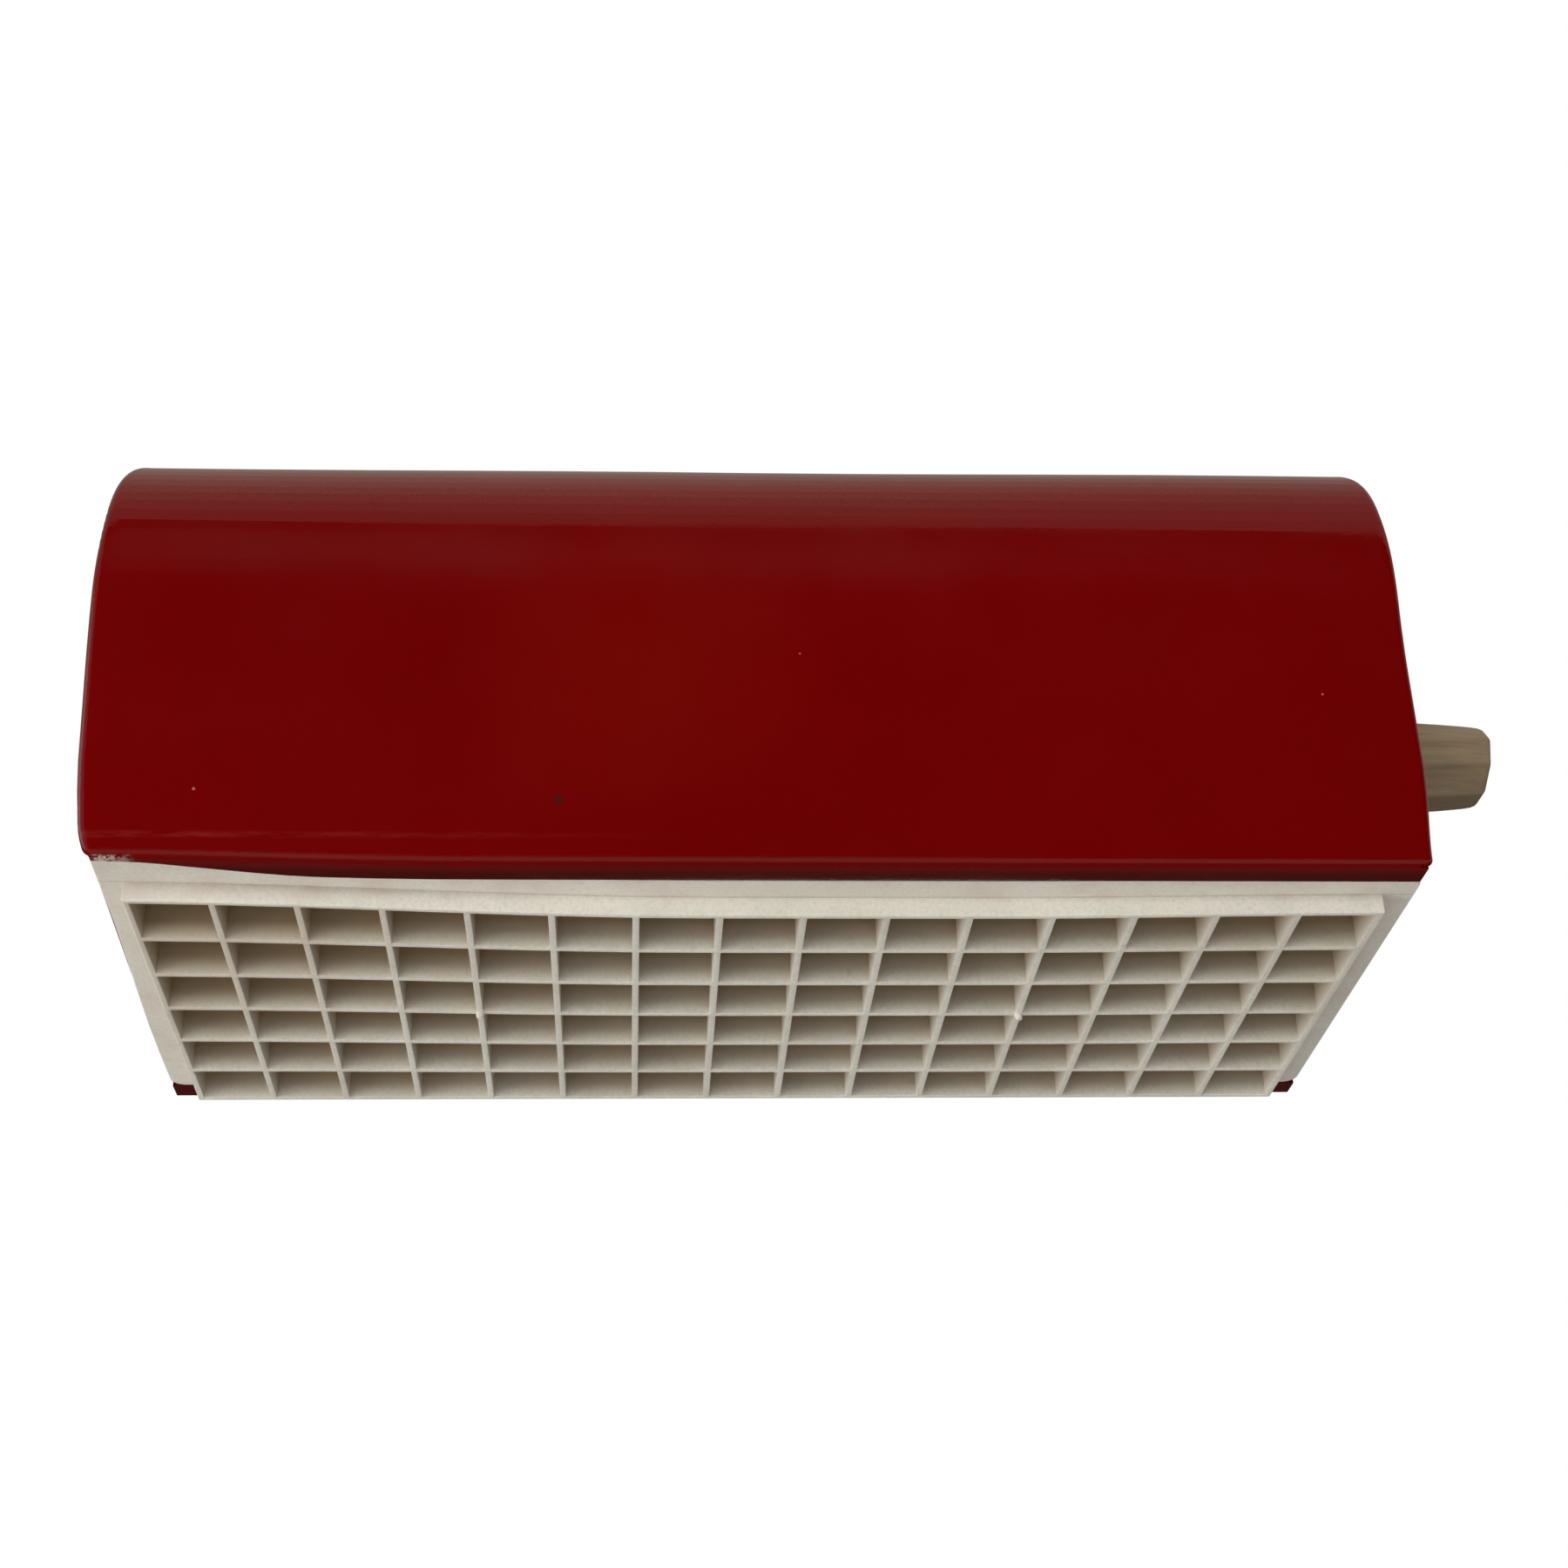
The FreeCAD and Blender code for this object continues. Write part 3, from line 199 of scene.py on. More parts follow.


# cream moulding of the louvre, yellowed by the lamp and darkened with painted shade inside its cells
creamLook = {
    "cream": (0.755, 0.725, 0.645), "shade": (0.69, 0.655, 0.57), "cloudNoise": (22.0, 5.0),
    "clouds": (0.3, 0.75),
    # this darker colour is dirt and also the painted shadow line at the rim
    "dirtAndShadow": (0.30, 0.25, 0.18), "speckNoise": (420.0, 3.0), "specks": (0.71, 0.78, 0.0, 0.35),
    "filmNoise": (90.0, 6.0, 0.7), "film": (0.5, 0.85, 0.0, 0.25),
    "grain": (0.50, 0.47, 0.40), "grainNoise": (1300.0, 4.0, 0.7), "grains": (0.44, 0.68, 0.0, 0.45),
    "marks": (((0.0193, -0.0517, -0.0665), 0.0010), ((0.0205, -0.0214, -0.067), 0.0006),
              ((-0.0817, -0.0867, -0.069), 0.0008)),
    # yellowing with painted shade in the cells
    "yellowedAndShaded": (0.42, 0.31, 0.19), "yellowAndShadeHeight": (-0.0722, -0.066), "yellowAndShadeDrift": 0.003,
    "gridMiddle": -0.05215, "gridHalf": (0.1127, 0.0452),
    # a painted shadow line where the rim meets the flange
    "shadowLinePlace": -0.0981, "shadowLineWidth": (0.0003, 0.0001), "shadowLineBreaks": (0.5, 0.64, 0.35, 0.8),
    # flange patches: grime with a painted reflection of the red hood
    "flangeGrimeAndReflection": (0.66, 0.55, 0.49), "flangeLow": -0.0704, "flangePatches": (0.42, 0.62, 0.0, 0.5),
    "specular": 0.35, "roughness": (0.45, 0.60),
    "fineNoise": (700.0, 3.0), "fineStrength": 0.2, "fineDepth": 0.00004,
}


def louvreCream():
    look = creamLook
    mat, tree, shader = newMaterial("louvreCream")
    point = objectPoint(tree)
    x, y, z = axesOf(tree, point)
    cloud = noise(tree, point, *look["cloudNoise"])
    color = mixColor(tree, ramp(tree, cloud, *look["clouds"]), look["cream"], look["shade"])
    specks = ramp(tree, noise(tree, point, *look["speckNoise"]), *look["specks"])
    color = mixColor(tree, specks, color, look["dirtAndShadow"])
    film = noise(tree, point, *look["filmNoise"])
    color = mixColor(tree, ramp(tree, film, *look["film"]), color, look["dirtAndShadow"])
    grains = ramp(tree, noise(tree, point, *look["grainNoise"]), *look["grains"])
    color = mixColor(tree, grains, color, look["grain"])
    for place, radius in look["marks"]:
        color = mixColor(tree, spotMask(tree, point, place, radius), color, look["dirtAndShadow"])
    # a painted shadow line in the corner where the rim meets the flange
    shadowLine = ramp(tree, awayFromPlane(tree, y, look["shadowLinePlace"]), *look["shadowLineWidth"])
    shadowLine = times(tree, shadowLine, ramp(tree, film, *look["shadowLineBreaks"]))
    color = mixColor(tree, shadowLine, color, look["dirtAndShadow"])
    # only the cells are yellowed and darkened with painted shade, more the deeper in, not the flange round
    # them
    deep = maths(tree, "MULTIPLY_ADD", cloud, look["yellowAndShadeDrift"], z)
    deep = ramp(tree, deep, *look["yellowAndShadeHeight"])
    halfX, halfY = look["gridHalf"]
    inside = times(tree, maths(tree, "LESS_THAN", awayFromPlane(tree, y, look["gridMiddle"]), halfY),
                   maths(tree, "LESS_THAN", awayFromPlane(tree, x, 0.0), halfX))
    color = mixColor(tree, times(tree, deep, inside), color, look["yellowedAndShaded"])
    # the flange has patches of a redder tone, grime with a painted reflection of the red hood
    outside = maths(tree, "SUBTRACT", 1.0, inside)
    flange = times(tree, outside, maths(tree, "GREATER_THAN", z, look["flangeLow"]))
    flange = times(tree, flange, ramp(tree, film, *look["flangePatches"]))
    color = mixColor(tree, flange, color, look["flangeGrimeAndReflection"])
    tree.links.new(color, shader.inputs["Base Color"])
    tree.links.new(ramp(tree, cloud, *noiseRange, *look["roughness"]), shader.inputs["Roughness"])
    shader.inputs["Specular IOR Level"].default_value = look["specular"]
    fine = noise(tree, point, *look["fineNoise"])
    fine = bumpNormal(tree, fine, look["fineStrength"], look["fineDepth"])
    tree.links.new(fine, shader.inputs["Normal"])
    return mat


# aged ivory plastic of the knob, darkened with painted shade, with fine streaks along its axis
ivoryLook = {
    # both ivory colours are darkened with painted shade
    "shadedIvory": (0.180, 0.126, 0.072), "shadedPale": (0.245, 0.180, 0.106), "streak": (0.12, 0.08, 0.043),
    "grainScale": (30, 700, 700), "grainNoise": (1.0, 5.0, 0.6), "grains": (0.35, 0.7),
    "fineScale": (60, 1600, 1600), "fineNoise": (1.0, 3.0), "streaks": (0.55, 0.8, 0.0, 0.5),
    "specular": 0.4, "roughness": (0.34, 0.48), "fineStrength": 0.12, "fineDepth": 0.00005,
}


def knobIvory():
    look = ivoryLook
    mat, tree, shader = newMaterial("knobIvory")
    grain = noise(tree, objectPoint(tree, look["grainScale"]), *look["grainNoise"])
    fine = noise(tree, objectPoint(tree, look["fineScale"]), *look["fineNoise"])
    color = mixColor(tree, ramp(tree, grain, *look["grains"]), look["shadedPale"], look["shadedIvory"])
    color = mixColor(tree, ramp(tree, fine, *look["streaks"]), color, look["streak"])
    tree.links.new(color, shader.inputs["Base Color"])
    tree.links.new(ramp(tree, grain, *noiseRange, *look["roughness"]), shader.inputs["Roughness"])
    shader.inputs["Specular IOR Level"].default_value = look["specular"]
    fine = bumpNormal(tree, fine, look["fineStrength"], look["fineDepth"])
    tree.links.new(fine, shader.inputs["Normal"])
    return mat


# mouldings, ceramic and metal: cloudy colour, uneven gloss and a fine surface
plainLook = {"clouds": (0.3, 0.7), "cloudDetail": 4.0, "smoother": 0.06, "rougher": 0.08,
             "finer": 6, "fineDetail": 2.0, "fineStrength": 0.2, "fineDepth": 0.00002}


def plainFinish(name, light, dark, roughness, metallic=0.0, size=180.0):
    look = plainLook
    mat, tree, shader = newMaterial(name)
    point = objectPoint(tree)
    cloud = noise(tree, point, size, look["cloudDetail"])
    color = mixColor(tree, ramp(tree, cloud, *look["clouds"]), light, dark)
    tree.links.new(color, shader.inputs["Base Color"])
    gloss = ramp(tree, cloud, *noiseRange, roughness - look["smoother"], roughness + look["rougher"])
    tree.links.new(gloss, shader.inputs["Roughness"])
    shader.inputs["Metallic"].default_value = metallic
    fine = noise(tree, point, size * look["finer"], look["fineDetail"])
    fine = bumpNormal(tree, fine, look["fineStrength"], look["fineDepth"])
    tree.links.new(fine, shader.inputs["Normal"])
    return mat


glassLook = {"clear": (0.96, 0.96, 0.94), "cloudy": (0.88, 0.88, 0.84), "noise": (60.0, 3.0),
             "roughness": (0.02, 0.07), "bending": 1.47}


def bulbGlass():
    look = glassLook
    mat, tree, shader = newMaterial("bulbGlass")
    cloud = noise(tree, objectPoint(tree), *look["noise"])
    tree.links.new(mixColor(tree, cloud, look["clear"], look["cloudy"]), shader.inputs["Base Color"])
    tree.links.new(ramp(tree, cloud, *noiseRange, *look["roughness"]), shader.inputs["Roughness"])
    shader.inputs["Transmission Weight"].default_value = 1.0
    shader.inputs["IOR"].default_value = look["bending"]
    return mat


finishes = {
    "red_lacquer": lacquerRed(),
    "cream_plastic": louvreCream(),
    "ivory_plastic": knobIvory(),
    "dark_bakelite": plainFinish("darkBakelite", (0.030, 0.018, 0.012), (0.018, 0.010, 0.007), 0.3),
    "white_ceramic": plainFinish("whiteCeramic", (0.74, 0.72, 0.66), (0.64, 0.61, 0.54), 0.25),
    "brass": plainFinish("agedBrass", (0.62, 0.42, 0.16), (0.42, 0.27, 0.10), 0.34, 1.0, 260.0),
    "bulb_cap_metal": plainFinish("bulbCapMetal", (0.70, 0.69, 0.66), (0.55, 0.54, 0.51), 0.3, 1.0, 260.0),
    "plated_steel": plainFinish("platedSteel", (0.56, 0.55, 0.52), (0.40, 0.39, 0.37), 0.36, 1.0, 320.0),
    "bulb_glass": bulbGlass(),
    "black_rubber": plainFinish("blackRubber", (0.028, 0.027, 0.026), (0.018, 0.017, 0.016), 0.6),
    "lead_insulation": plainFinish("leadInsulation", (0.62, 0.58, 0.48), (0.50, 0.46, 0.37), 0.5),
}
slotOf = {entry["node"]: entry["material_slot"] for entry in frame["record"]["subparts"]}
for nodeName, piece in frame["nodes"].items():
    piece.data.materials.clear()
    piece.data.materials.append(finishes[slotOf[nodeName]])
print("finishes on", len(frame["nodes"]), "frame pieces")


# mesh helpers
def ease(value):
    value = min(max(value, 0.0), 1.0)
    return value * value * (3 - 2 * value)


def share(value, start, run):
    # 0 at the start, 1 at the end of the run, eased at both
    return ease((value - start) / run)


def limited(value, start, run):
    return min(max((value - start) / run, 0.0), 1.0)


def only(kind, geom):
    return [item for item in geom if isinstance(item, kind)]


def roundEdges(bm, edges, offset, segments):
    bmesh.ops.bevel(bm, geom=edges, offset=offset, segments=segments, profile=0.5,
                    affect="EDGES", material=-1)


def finishPiece(bm, name, slotName, body, nodeName, sharpAngle):
    # smooth over soft edges, crisp over the others
    for face in bm.faces:
        face.smooth = True
    for edge in bm.edges:
        if len(edge.link_faces) == 2 and edge.calc_face_angle() > math.radians(sharpAngle):
            edge.smooth = False
    openEdges = sum(1 for edge in bm.edges if len(edge.link_faces) != 2)
    mesh = bpy.data.meshes.new(name)
    bm.to_mesh(mesh)
    bm.free()
    piece = bpy.data.objects.new(name, mesh)
    bpy.context.collection.objects.link(piece)
    mesh.materials.append(finishes[slotName])
    even = piece.modifiers.new("evenShading", "WEIGHTED_NORMAL")
    even.keep_sharp = True
    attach(piece, body)
    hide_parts(nodeName)
    print(name, "faces", len(mesh.polygons), "open edges", openEdges)


# hood: the frame's sheet and ends, drawn into the worn shape that the lamp has
hoodLook = {
    # cuts in millimetres, other lengths in metres, the angle in degrees
    "cutsX": (-119, -118, -117, -116, -115, -113, -108, -102, -99, -95, -91, -87, -83, -79, -75, -68, -58,
              -40, -20, 0, 20, 40, 60, 80, 100),
    "cutsY": (-108, -106.5, -105, -103.5, -102, -99, -96, -90, -84, -78, -72, -60, -45, -30),
    "cutsZ": (-69, -68, -66.5, -65, -63, -60, -56, -50, -44, -38, -32, -26, -20, -14, -8, 0, 8, 16, 24),
    # a pair is where a change starts and how far it runs; footRise is left and right
    "knockRise": 0.0012, "knockX": (-0.052, -0.067), "knockY": (-0.070, -0.038), "knockZ": (-0.040, -0.030),
    "footLift": 0.0020, "footRise": (0.0030, 0.0010), "footY": (0.0, -0.105), "footZ": (-0.060, -0.008),
    "footBehind": (-0.1110, 0.003), "pullBehind": (-0.108, 0.014),
    "cornerPull": 0.0013, "cornerX": (0.100, 0.016), "cornerY": (-0.025, -0.080), "cornerZ": (-0.050, -0.020),
    "cornerRound": 0.0016, "roundZ": (-0.0630, -0.007),
    "spread": 0.0018, "spreadLeft": (-0.068, 0.060), "spreadRight": (-0.030, 0.050),
    "spreadY": (-0.070, -0.034), "halfWidth": 0.120,
    "rollLeft": 0.0005, "rollX": (-0.1150, -0.005), "rollY": (-0.100, -0.010), "rollZ": (0.025, -0.030),
    "droopLeft": 0.0006, "droopX": (-0.010, -0.1), "droopZ": (0.0, 0.03),
    "leanRight": 0.0012, "leanX": (0.0, 0.1), "leanY": (-0.030, -0.030), "leanZ": (0.004, 0.02),
    "hollowAt": -0.0872, "hollowRun": 0.012, "hollowEase": 0.00086,
    "hollowY": (-0.1095, 0.002), "hollowZ": (-0.0670, -0.001),
    "weldWithin": 0.000002, "cutWithin": 0.000001, "sharpAngle": 32.0,
    "pieces": (("hood_shell", "hoodSheet"), ("end_cap_left", "hoodEndLeft"),
               ("end_cap_right", "hoodEndRight")),
}


def knockedUp(spot):
    # lower left front edge, bent up a little
    look = hoodLook
    along = look["knockRise"] * share(spot.x, *look["knockX"])
    return along * share(spot.z, *look["knockZ"]) * share(spot.y, *look["knockY"])


def footUp(spot):
    # behind the lip the ends stop just above the louvre's flange
    look = hoodLook
    left, right = look["footRise"]
    rise = look["footLift"] + (left if spot.x < 0 else right) * limited(spot.y, *look["footY"])
    return rise * share(spot.z, *look["footZ"])


def pullCorner(spot, unit, pull, turnIn):
    # lower front corners lie a little nearer the middle, and the left one is rounded
    look = hoodLook
    low = share(spot.z * unit, *look["cornerZ"])
    near = share(spot.y * unit, *look["cornerY"])
    end = share(abs(spot.x) * unit, *look["cornerX"])
    spot.x -= math.copysign(pull * low * near * end / unit, spot.x)
    if spot.x < 0:
        turn = limited(spot.z * unit, *look["roundZ"]) ** 2
        spot.x += turnIn * turn * near * end / unit


def spreadTop(spot):
    # the upper front is wider than the foot, its left edge rolls back and its top line isn't quite true
    look = hoodLook
    upper = look["spreadLeft"] if spot.x < 0 else look["spreadRight"]
    wide = look["spread"] * share(spot.z, *upper) * share(spot.y, *look["spreadY"])
    lowered = look["droopLeft"] * share(spot.x, *look["droopX"]) * share(spot.z, *look["droopZ"])
    leant = look["leanRight"] * share(spot.x, *look["leanX"]) * share(spot.z, *look["leanZ"])
    rolled = look["rollLeft"] * limited(spot.x, *look["rollX"]) ** 2
    spot.y += rolled * share(spot.y, *look["rollY"]) * share(spot.z, *look["rollZ"])
    spot.x += wide * spot.x / look["halfWidth"]
    spot.z -= lowered
    spot.y -= leant * share(spot.y, *look["leanY"])


def easeHollow(spot):
    # the lip's inner edge runs into its hollow in one curve
    look = hoodLook
    part = max(1.0 - abs(spot.x - look["hollowAt"]) / look["hollowRun"], 0.0)
    inner = share(spot.z, *look["hollowZ"]) * share(spot.y, *look["hollowY"])
    spot.y -= look["hollowEase"] * part * part * inner


def drawHood(spot, isSheet):
    look = hoodLook
    rise, pull, turnIn = knockedUp(spot), look["cornerPull"], look["cornerRound"]
    if not isSheet:
        rise += (footUp(spot) - rise) * share(spot.y, *look["footBehind"])
        inFront = 1.0 - share(spot.y, *look["pullBehind"])
        turnIn *= inFront
        pull *= inFront if spot.x > 0 else 1.0
    # the rise comes after the pull, which goes by the height before it
    pullCorner(spot, 1.0, pull, turnIn)
    spot.z += rise
    spreadTop(spot)
    if isSheet:
        easeHollow(spot)


def buildHood():
    look = hoodLook
    cuts = (((1, 0, 0), look["cutsX"]), ((0, 1, 0), look["cutsY"]), ((0, 0, 1), look["cutsZ"]))
    for nodeName, name in look["pieces"]:
        bm = bmesh.new()
        bm.from_mesh(frame["nodes"][nodeName].data)
        bmesh.ops.remove_doubles(bm, verts=bm.verts, dist=look["weldWithin"])
        for axis, levels in cuts:
            for level in levels:
                bmesh.ops.bisect_plane(bm, geom=bm.verts[:] + bm.edges[:] + bm.faces[:], plane_no=axis,
                                       plane_co=Vector(axis) * level * mm, dist=look["cutWithin"])
        for vert in bm.verts:
            drawHood(vert.co, nodeName == "hood_shell")
        finishPiece(bm, name, "red_lacquer", "lamp", nodeName, look["sharpAngle"])


# louvre: one moulded grid with flange, lugs and gate marks, in millimetres until it is finished;
# crispAngle and a gate's lean are in radians, sharpAngle in degrees
louvreLook = {
    "columns": 15, "rows": 6, "pitch": 15.0, "rib": 1.3, "centreY": -52.15,
    "levels": (-73.6, -70.0, -68.4, -61.6), "flangeX": 119.0, "flangeFront": -104.5, "flangeRear": -6.0,
    "corner": 3.0, "cornerSteps": 5, "edge": 0.28, "edgeSteps": 2, "crispAngle": 0.9, "sharpAngle": 40.0,
    "fillX": (-76.0, -41.0), "fillDepth": 3.9, "fillCutsTo": -66, "fillCuts": 4,
    # a lug's run is its front, its rear and the height of its seat
    "lugs": (-72.0, 0.0, 72.0), "lugSize": (12.0, 1.8), "lugEdge": 0.3,
    "lugRuns": ((-108.0, -99.5, -69.2), (-6.5, -2.5, -69.0)),
    "gates": ((-52.5, 0.16), (52.5, -0.14)), "gateSize": (0.55, 1.1, 1.6), "gateSides": 14, "gateDrop": 0.25,
    "warpLeft": 3.0, "warpLeftX": (-10.0, -108.0), "warpRight": 0.9, "warpRightX": (40.0, 78.0),
    "pullFrom": -114.0,
}
closeBy = 0.01


def onPlane(value, level):
    return abs(value - level) < closeBy


def louvreBlank():
    # a flat lattice at the lowest level, pulled up through the levels
    look = louvreLook
    bm = bmesh.new()
    wide, deep, half = look["columns"] * look["pitch"], look["rows"] * look["pitch"], look["rib"] / 2
    bmesh.ops.create_grid(bm, x_segments=look["columns"], y_segments=look["rows"], size=0.5)
    bmesh.ops.scale(bm, vec=(wide, deep, 1), verts=bm.verts)
    cells = bm.faces[:]
    bmesh.ops.inset_individual(bm, faces=cells, thickness=half, use_even_offset=True)
    bmesh.ops.delete(bm, geom=cells, context="FACES")
    outer = [e for e in bm.edges if e.is_boundary and
             (all(onPlane(abs(v.co.x), wide / 2) for v in e.verts) or
              all(onPlane(abs(v.co.y), deep / 2) for v in e.verts))]
    for vert in only(bmesh.types.BMVert, bmesh.ops.extrude_edge_only(bm, edges=outer)["geom"]):
        if onPlane(abs(vert.co.x), wide / 2):
            vert.co.x += math.copysign(half, vert.co.x)
        if onPlane(abs(vert.co.y), deep / 2):
            vert.co.y += math.copysign(half, vert.co.y)
    bmesh.ops.translate(bm, vec=(0, look["centreY"], look["levels"][0]), verts=bm.verts)
    top = bm.faces[:]
    for low, high in zip(look["levels"], look["levels"][1:]):
        pulled = bmesh.ops.extrude_face_region(bm, geom=top)["geom"]
        bmesh.ops.translate(bm, vec=(0, 0, high - low), verts=only(bmesh.types.BMVert, pulled))
        if low > look["levels"][0]:
            bmesh.ops.delete(bm, geom=[f for f in top if f.is_valid], context="FACES")
        top = only(bmesh.types.BMFace, pulled)
    return bm


def louvreFlange(bm):
    look = louvreLook
    edgeX = (look["columns"] * look["pitch"] + look["rib"]) / 2
    edgeY = (look["rows"] * look["pitch"] + look["rib"]) / 2
    front, rear = look["centreY"] - edgeY, look["centreY"] + edgeY
    walls = []
    for face in bm.faces:
        middle = face.calc_center_median()
        outside = onPlane(abs(middle.x), edgeX) or onPlane(middle.y, front) or onPlane(middle.y, rear)
        if outside and look["levels"][1] < middle.z < look["levels"][2]:
            walls.append(face)
    pulled = bmesh.ops.extrude_face_region(bm, geom=walls)["geom"]
    bmesh.ops.delete(bm, geom=[f for f in walls if f.is_valid], context="FACES")
    for vert in only(bmesh.types.BMVert, pulled):
        if onPlane(abs(vert.co.x), edgeX):
            vert.co.x = math.copysign(look["flangeX"], vert.co.x)
        if onPlane(vert.co.y, front):
            vert.co.y = look["flangeFront"]
        elif onPlane(vert.co.y, rear):
            vert.co.y = look["flangeRear"]
    # three rounded corners; the front left one runs on into the hollow of the lip
    corners = [(look["flangeX"], look["flangeFront"]), (look["flangeX"], look["flangeRear"]),
               (-look["flangeX"], look["flangeRear"])]
    upright = [e for e in bm.edges if any(all(onPlane(v.co.x, x) and onPlane(v.co.y, y) for v in e.verts)
                                          for x, y in corners)]
    roundEdges(bm, upright, look["corner"], look["cornerSteps"])
    frontLine = look["flangeFront"] + closeBy
    strip = [e for e in bm.edges if onPlane(e.verts[0].co.z, e.verts[1].co.z)
             and all(v.co.y < frontLine and v.co.x < look["fillCutsTo"] for v in e.verts)]
    bmesh.ops.subdivide_edges(bm, edges=strip, cuts=look["fillCuts"])
    for vert in bm.verts:
        if vert.co.y < frontLine:
            vert.co.y -= look["fillDepth"] * share(vert.co.x, *look["fillX"])


def louvreTabs(bm):
    # lugs that lie on the lips, and the two gate marks
    look = louvreLook
    wide, thick = look["lugSize"]
    for place in look["lugs"]:
        for start, end, seat in look["lugRuns"]:
            lug = bmesh.ops.create_cube(bm, size=1.0)["verts"]
            bmesh.ops.scale(bm, vec=(wide, end - start, thick), verts=lug)
            bmesh.ops.translate(bm, vec=(place, (start + end) / 2, seat + thick / 2), verts=lug)
            edges = dict.fromkeys(e for v in lug for e in v.link_edges)  # each once, always in one order
            roundEdges(bm, list(edges), look["lugEdge"], look["edgeSteps"])
    tip, root, length = look["gateSize"]
    for place, lean in look["gates"]:
        nub = bmesh.ops.create_cone(bm, cap_ends=True, segments=look["gateSides"], radius1=tip, radius2=root,
                                    depth=length)["verts"]
        bmesh.ops.rotate(bm, verts=nub, cent=(0, 0, 0), matrix=Matrix.Rotation(lean, 3, "Y"))
        bmesh.ops.translate(bm, vec=(place, look["centreY"], look["levels"][0] - look["gateDrop"]), verts=nub)


def buildLouvre():
    look = louvreLook
    bm = louvreBlank()
    louvreFlange(bm)
    bmesh.ops.recalc_face_normals(bm, faces=bm.faces)
    crisp = [e for e in bm.edges if len(e.link_faces) == 2 and e.is_convex
             and e.calc_face_angle() > look["crispAngle"]]
    roundEdges(bm, crisp, look["edge"], look["edgeSteps"])
    louvreTabs(bm)
    for vert in bm.verts:
        spot = vert.co
        forward = (look["flangeRear"] - spot.y) / (look["flangeRear"] - look["flangeFront"])
        spot.z += look["warpLeft"] * share(spot.x, *look["warpLeftX"]) * forward
        spot.z += look["warpRight"] * share(spot.x, *look["warpRightX"]) * forward
        if spot.x < look["pullFrom"]:
            pullCorner(spot, mm, hoodLook["cornerPull"], hoodLook["cornerRound"])
    bmesh.ops.scale(bm, vec=(mm, mm, mm), verts=bm.verts)
    bmesh.ops.recalc_face_normals(bm, faces=bm.faces)
    finishPiece(bm, "louvreGrid", "cream_plastic", "louvre", "louvre", look["sharpAngle"])


# knob: eight flats all the way to a slanted end, in millimetres until it is finished
knobLook = {
    "axis": (-65.0, -25.0), "base": 121.2, "flats": 8, "edge": 0.4, "edgeSteps": 3, "sharpAngle": 36.0,
    "slant": 0.14, "slantTop": 6.2, "slantX": (135.0, 14.4), "recess": 7.7, "recessDepth": 5.0,
    "screwAlong": 132.2, "screwFlat": 8.6, "screwHole": 1.65, "screwDepth": 4.0, "screwRim": 0.9,
    "screwCuts": 4,
    # distance from the base and half the width over the flats
    "sections": ((0.0, 8.4), (0.6, 8.68), (8.2, 8.66), (13.8, 8.5), (18.8, 8.25), (23.3, 7.95),
                 (25.6, 7.75), (27.0, 7.55), (27.9, 7.2), (28.3, 6.75), (28.4, 6.2)),
}


def buildKnob():
    look = knobLook
    bm = bmesh.new()
    halfTurn = math.pi / look["flats"]  # from the middle of a flat to its corner
    corner = look["recess"] / math.cos(halfTurn)
    start = bmesh.ops.create_circle(bm, cap_ends=True, radius=corner, segments=look["flats"])["verts"]
    bmesh.ops.rotate(bm, verts=start, cent=(0, 0, 0), matrix=Matrix.Rotation(halfTurn, 3, "Z"))
    bmesh.ops.translate(bm, vec=(0, 0, look["recessDepth"]), verts=start)
    ring, level, size, lengthwise = bm.edges[:], look["recessDepth"], look["recess"], []
    for number, (nextLevel, nextSize) in enumerate(((0.0, look["recess"]), *look["sections"])):
        verts = only(bmesh.types.BMVert, bmesh.ops.extrude_edge_only(bm, edges=ring)["geom"])
        bmesh.ops.scale(bm, vec=(nextSize / size, nextSize / size, 1), verts=verts)
        bmesh.ops.translate(bm, vec=(0, 0, nextLevel - level), verts=verts)
        ring = [e for e in bm.edges if e.verts[0] in verts and e.verts[1] in verts]
        if number > 1:  # the edges of the recess stay sharp
            lengthwise += [e for v in verts for e in v.link_edges if e not in ring]
        level, size = nextLevel, nextSize
    bmesh.ops.holes_fill(bm, edges=ring, sides=0)
    bmesh.ops.recalc_face_normals(bm, faces=bm.faces)
    roundEdges(bm, lengthwise, look["edge"], look["edgeSteps"])
    bmesh.ops.rotate(bm, verts=bm.verts, cent=(0, 0, 0), matrix=Matrix.Rotation(math.pi / 2, 3, "Y"))
    bmesh.ops.translate(bm, vec=(look["base"], *look["axis"]), verts=bm.verts)
    for vert in bm.verts:
        up = vert.co.z - look["axis"][1]
        vert.co.x -= look["slant"] * (look["slantTop"] - up) * share(vert.co.x, *look["slantX"])
    knobScrewHole(bm)
    bmesh.ops.scale(bm, vec=(mm, mm, mm), verts=bm.verts)
    bmesh.ops.recalc_face_normals(bm, faces=bm.faces)
    finishPiece(bm, "switchKnob", "ivory_plastic", "knob", "knob", look["sharpAngle"])


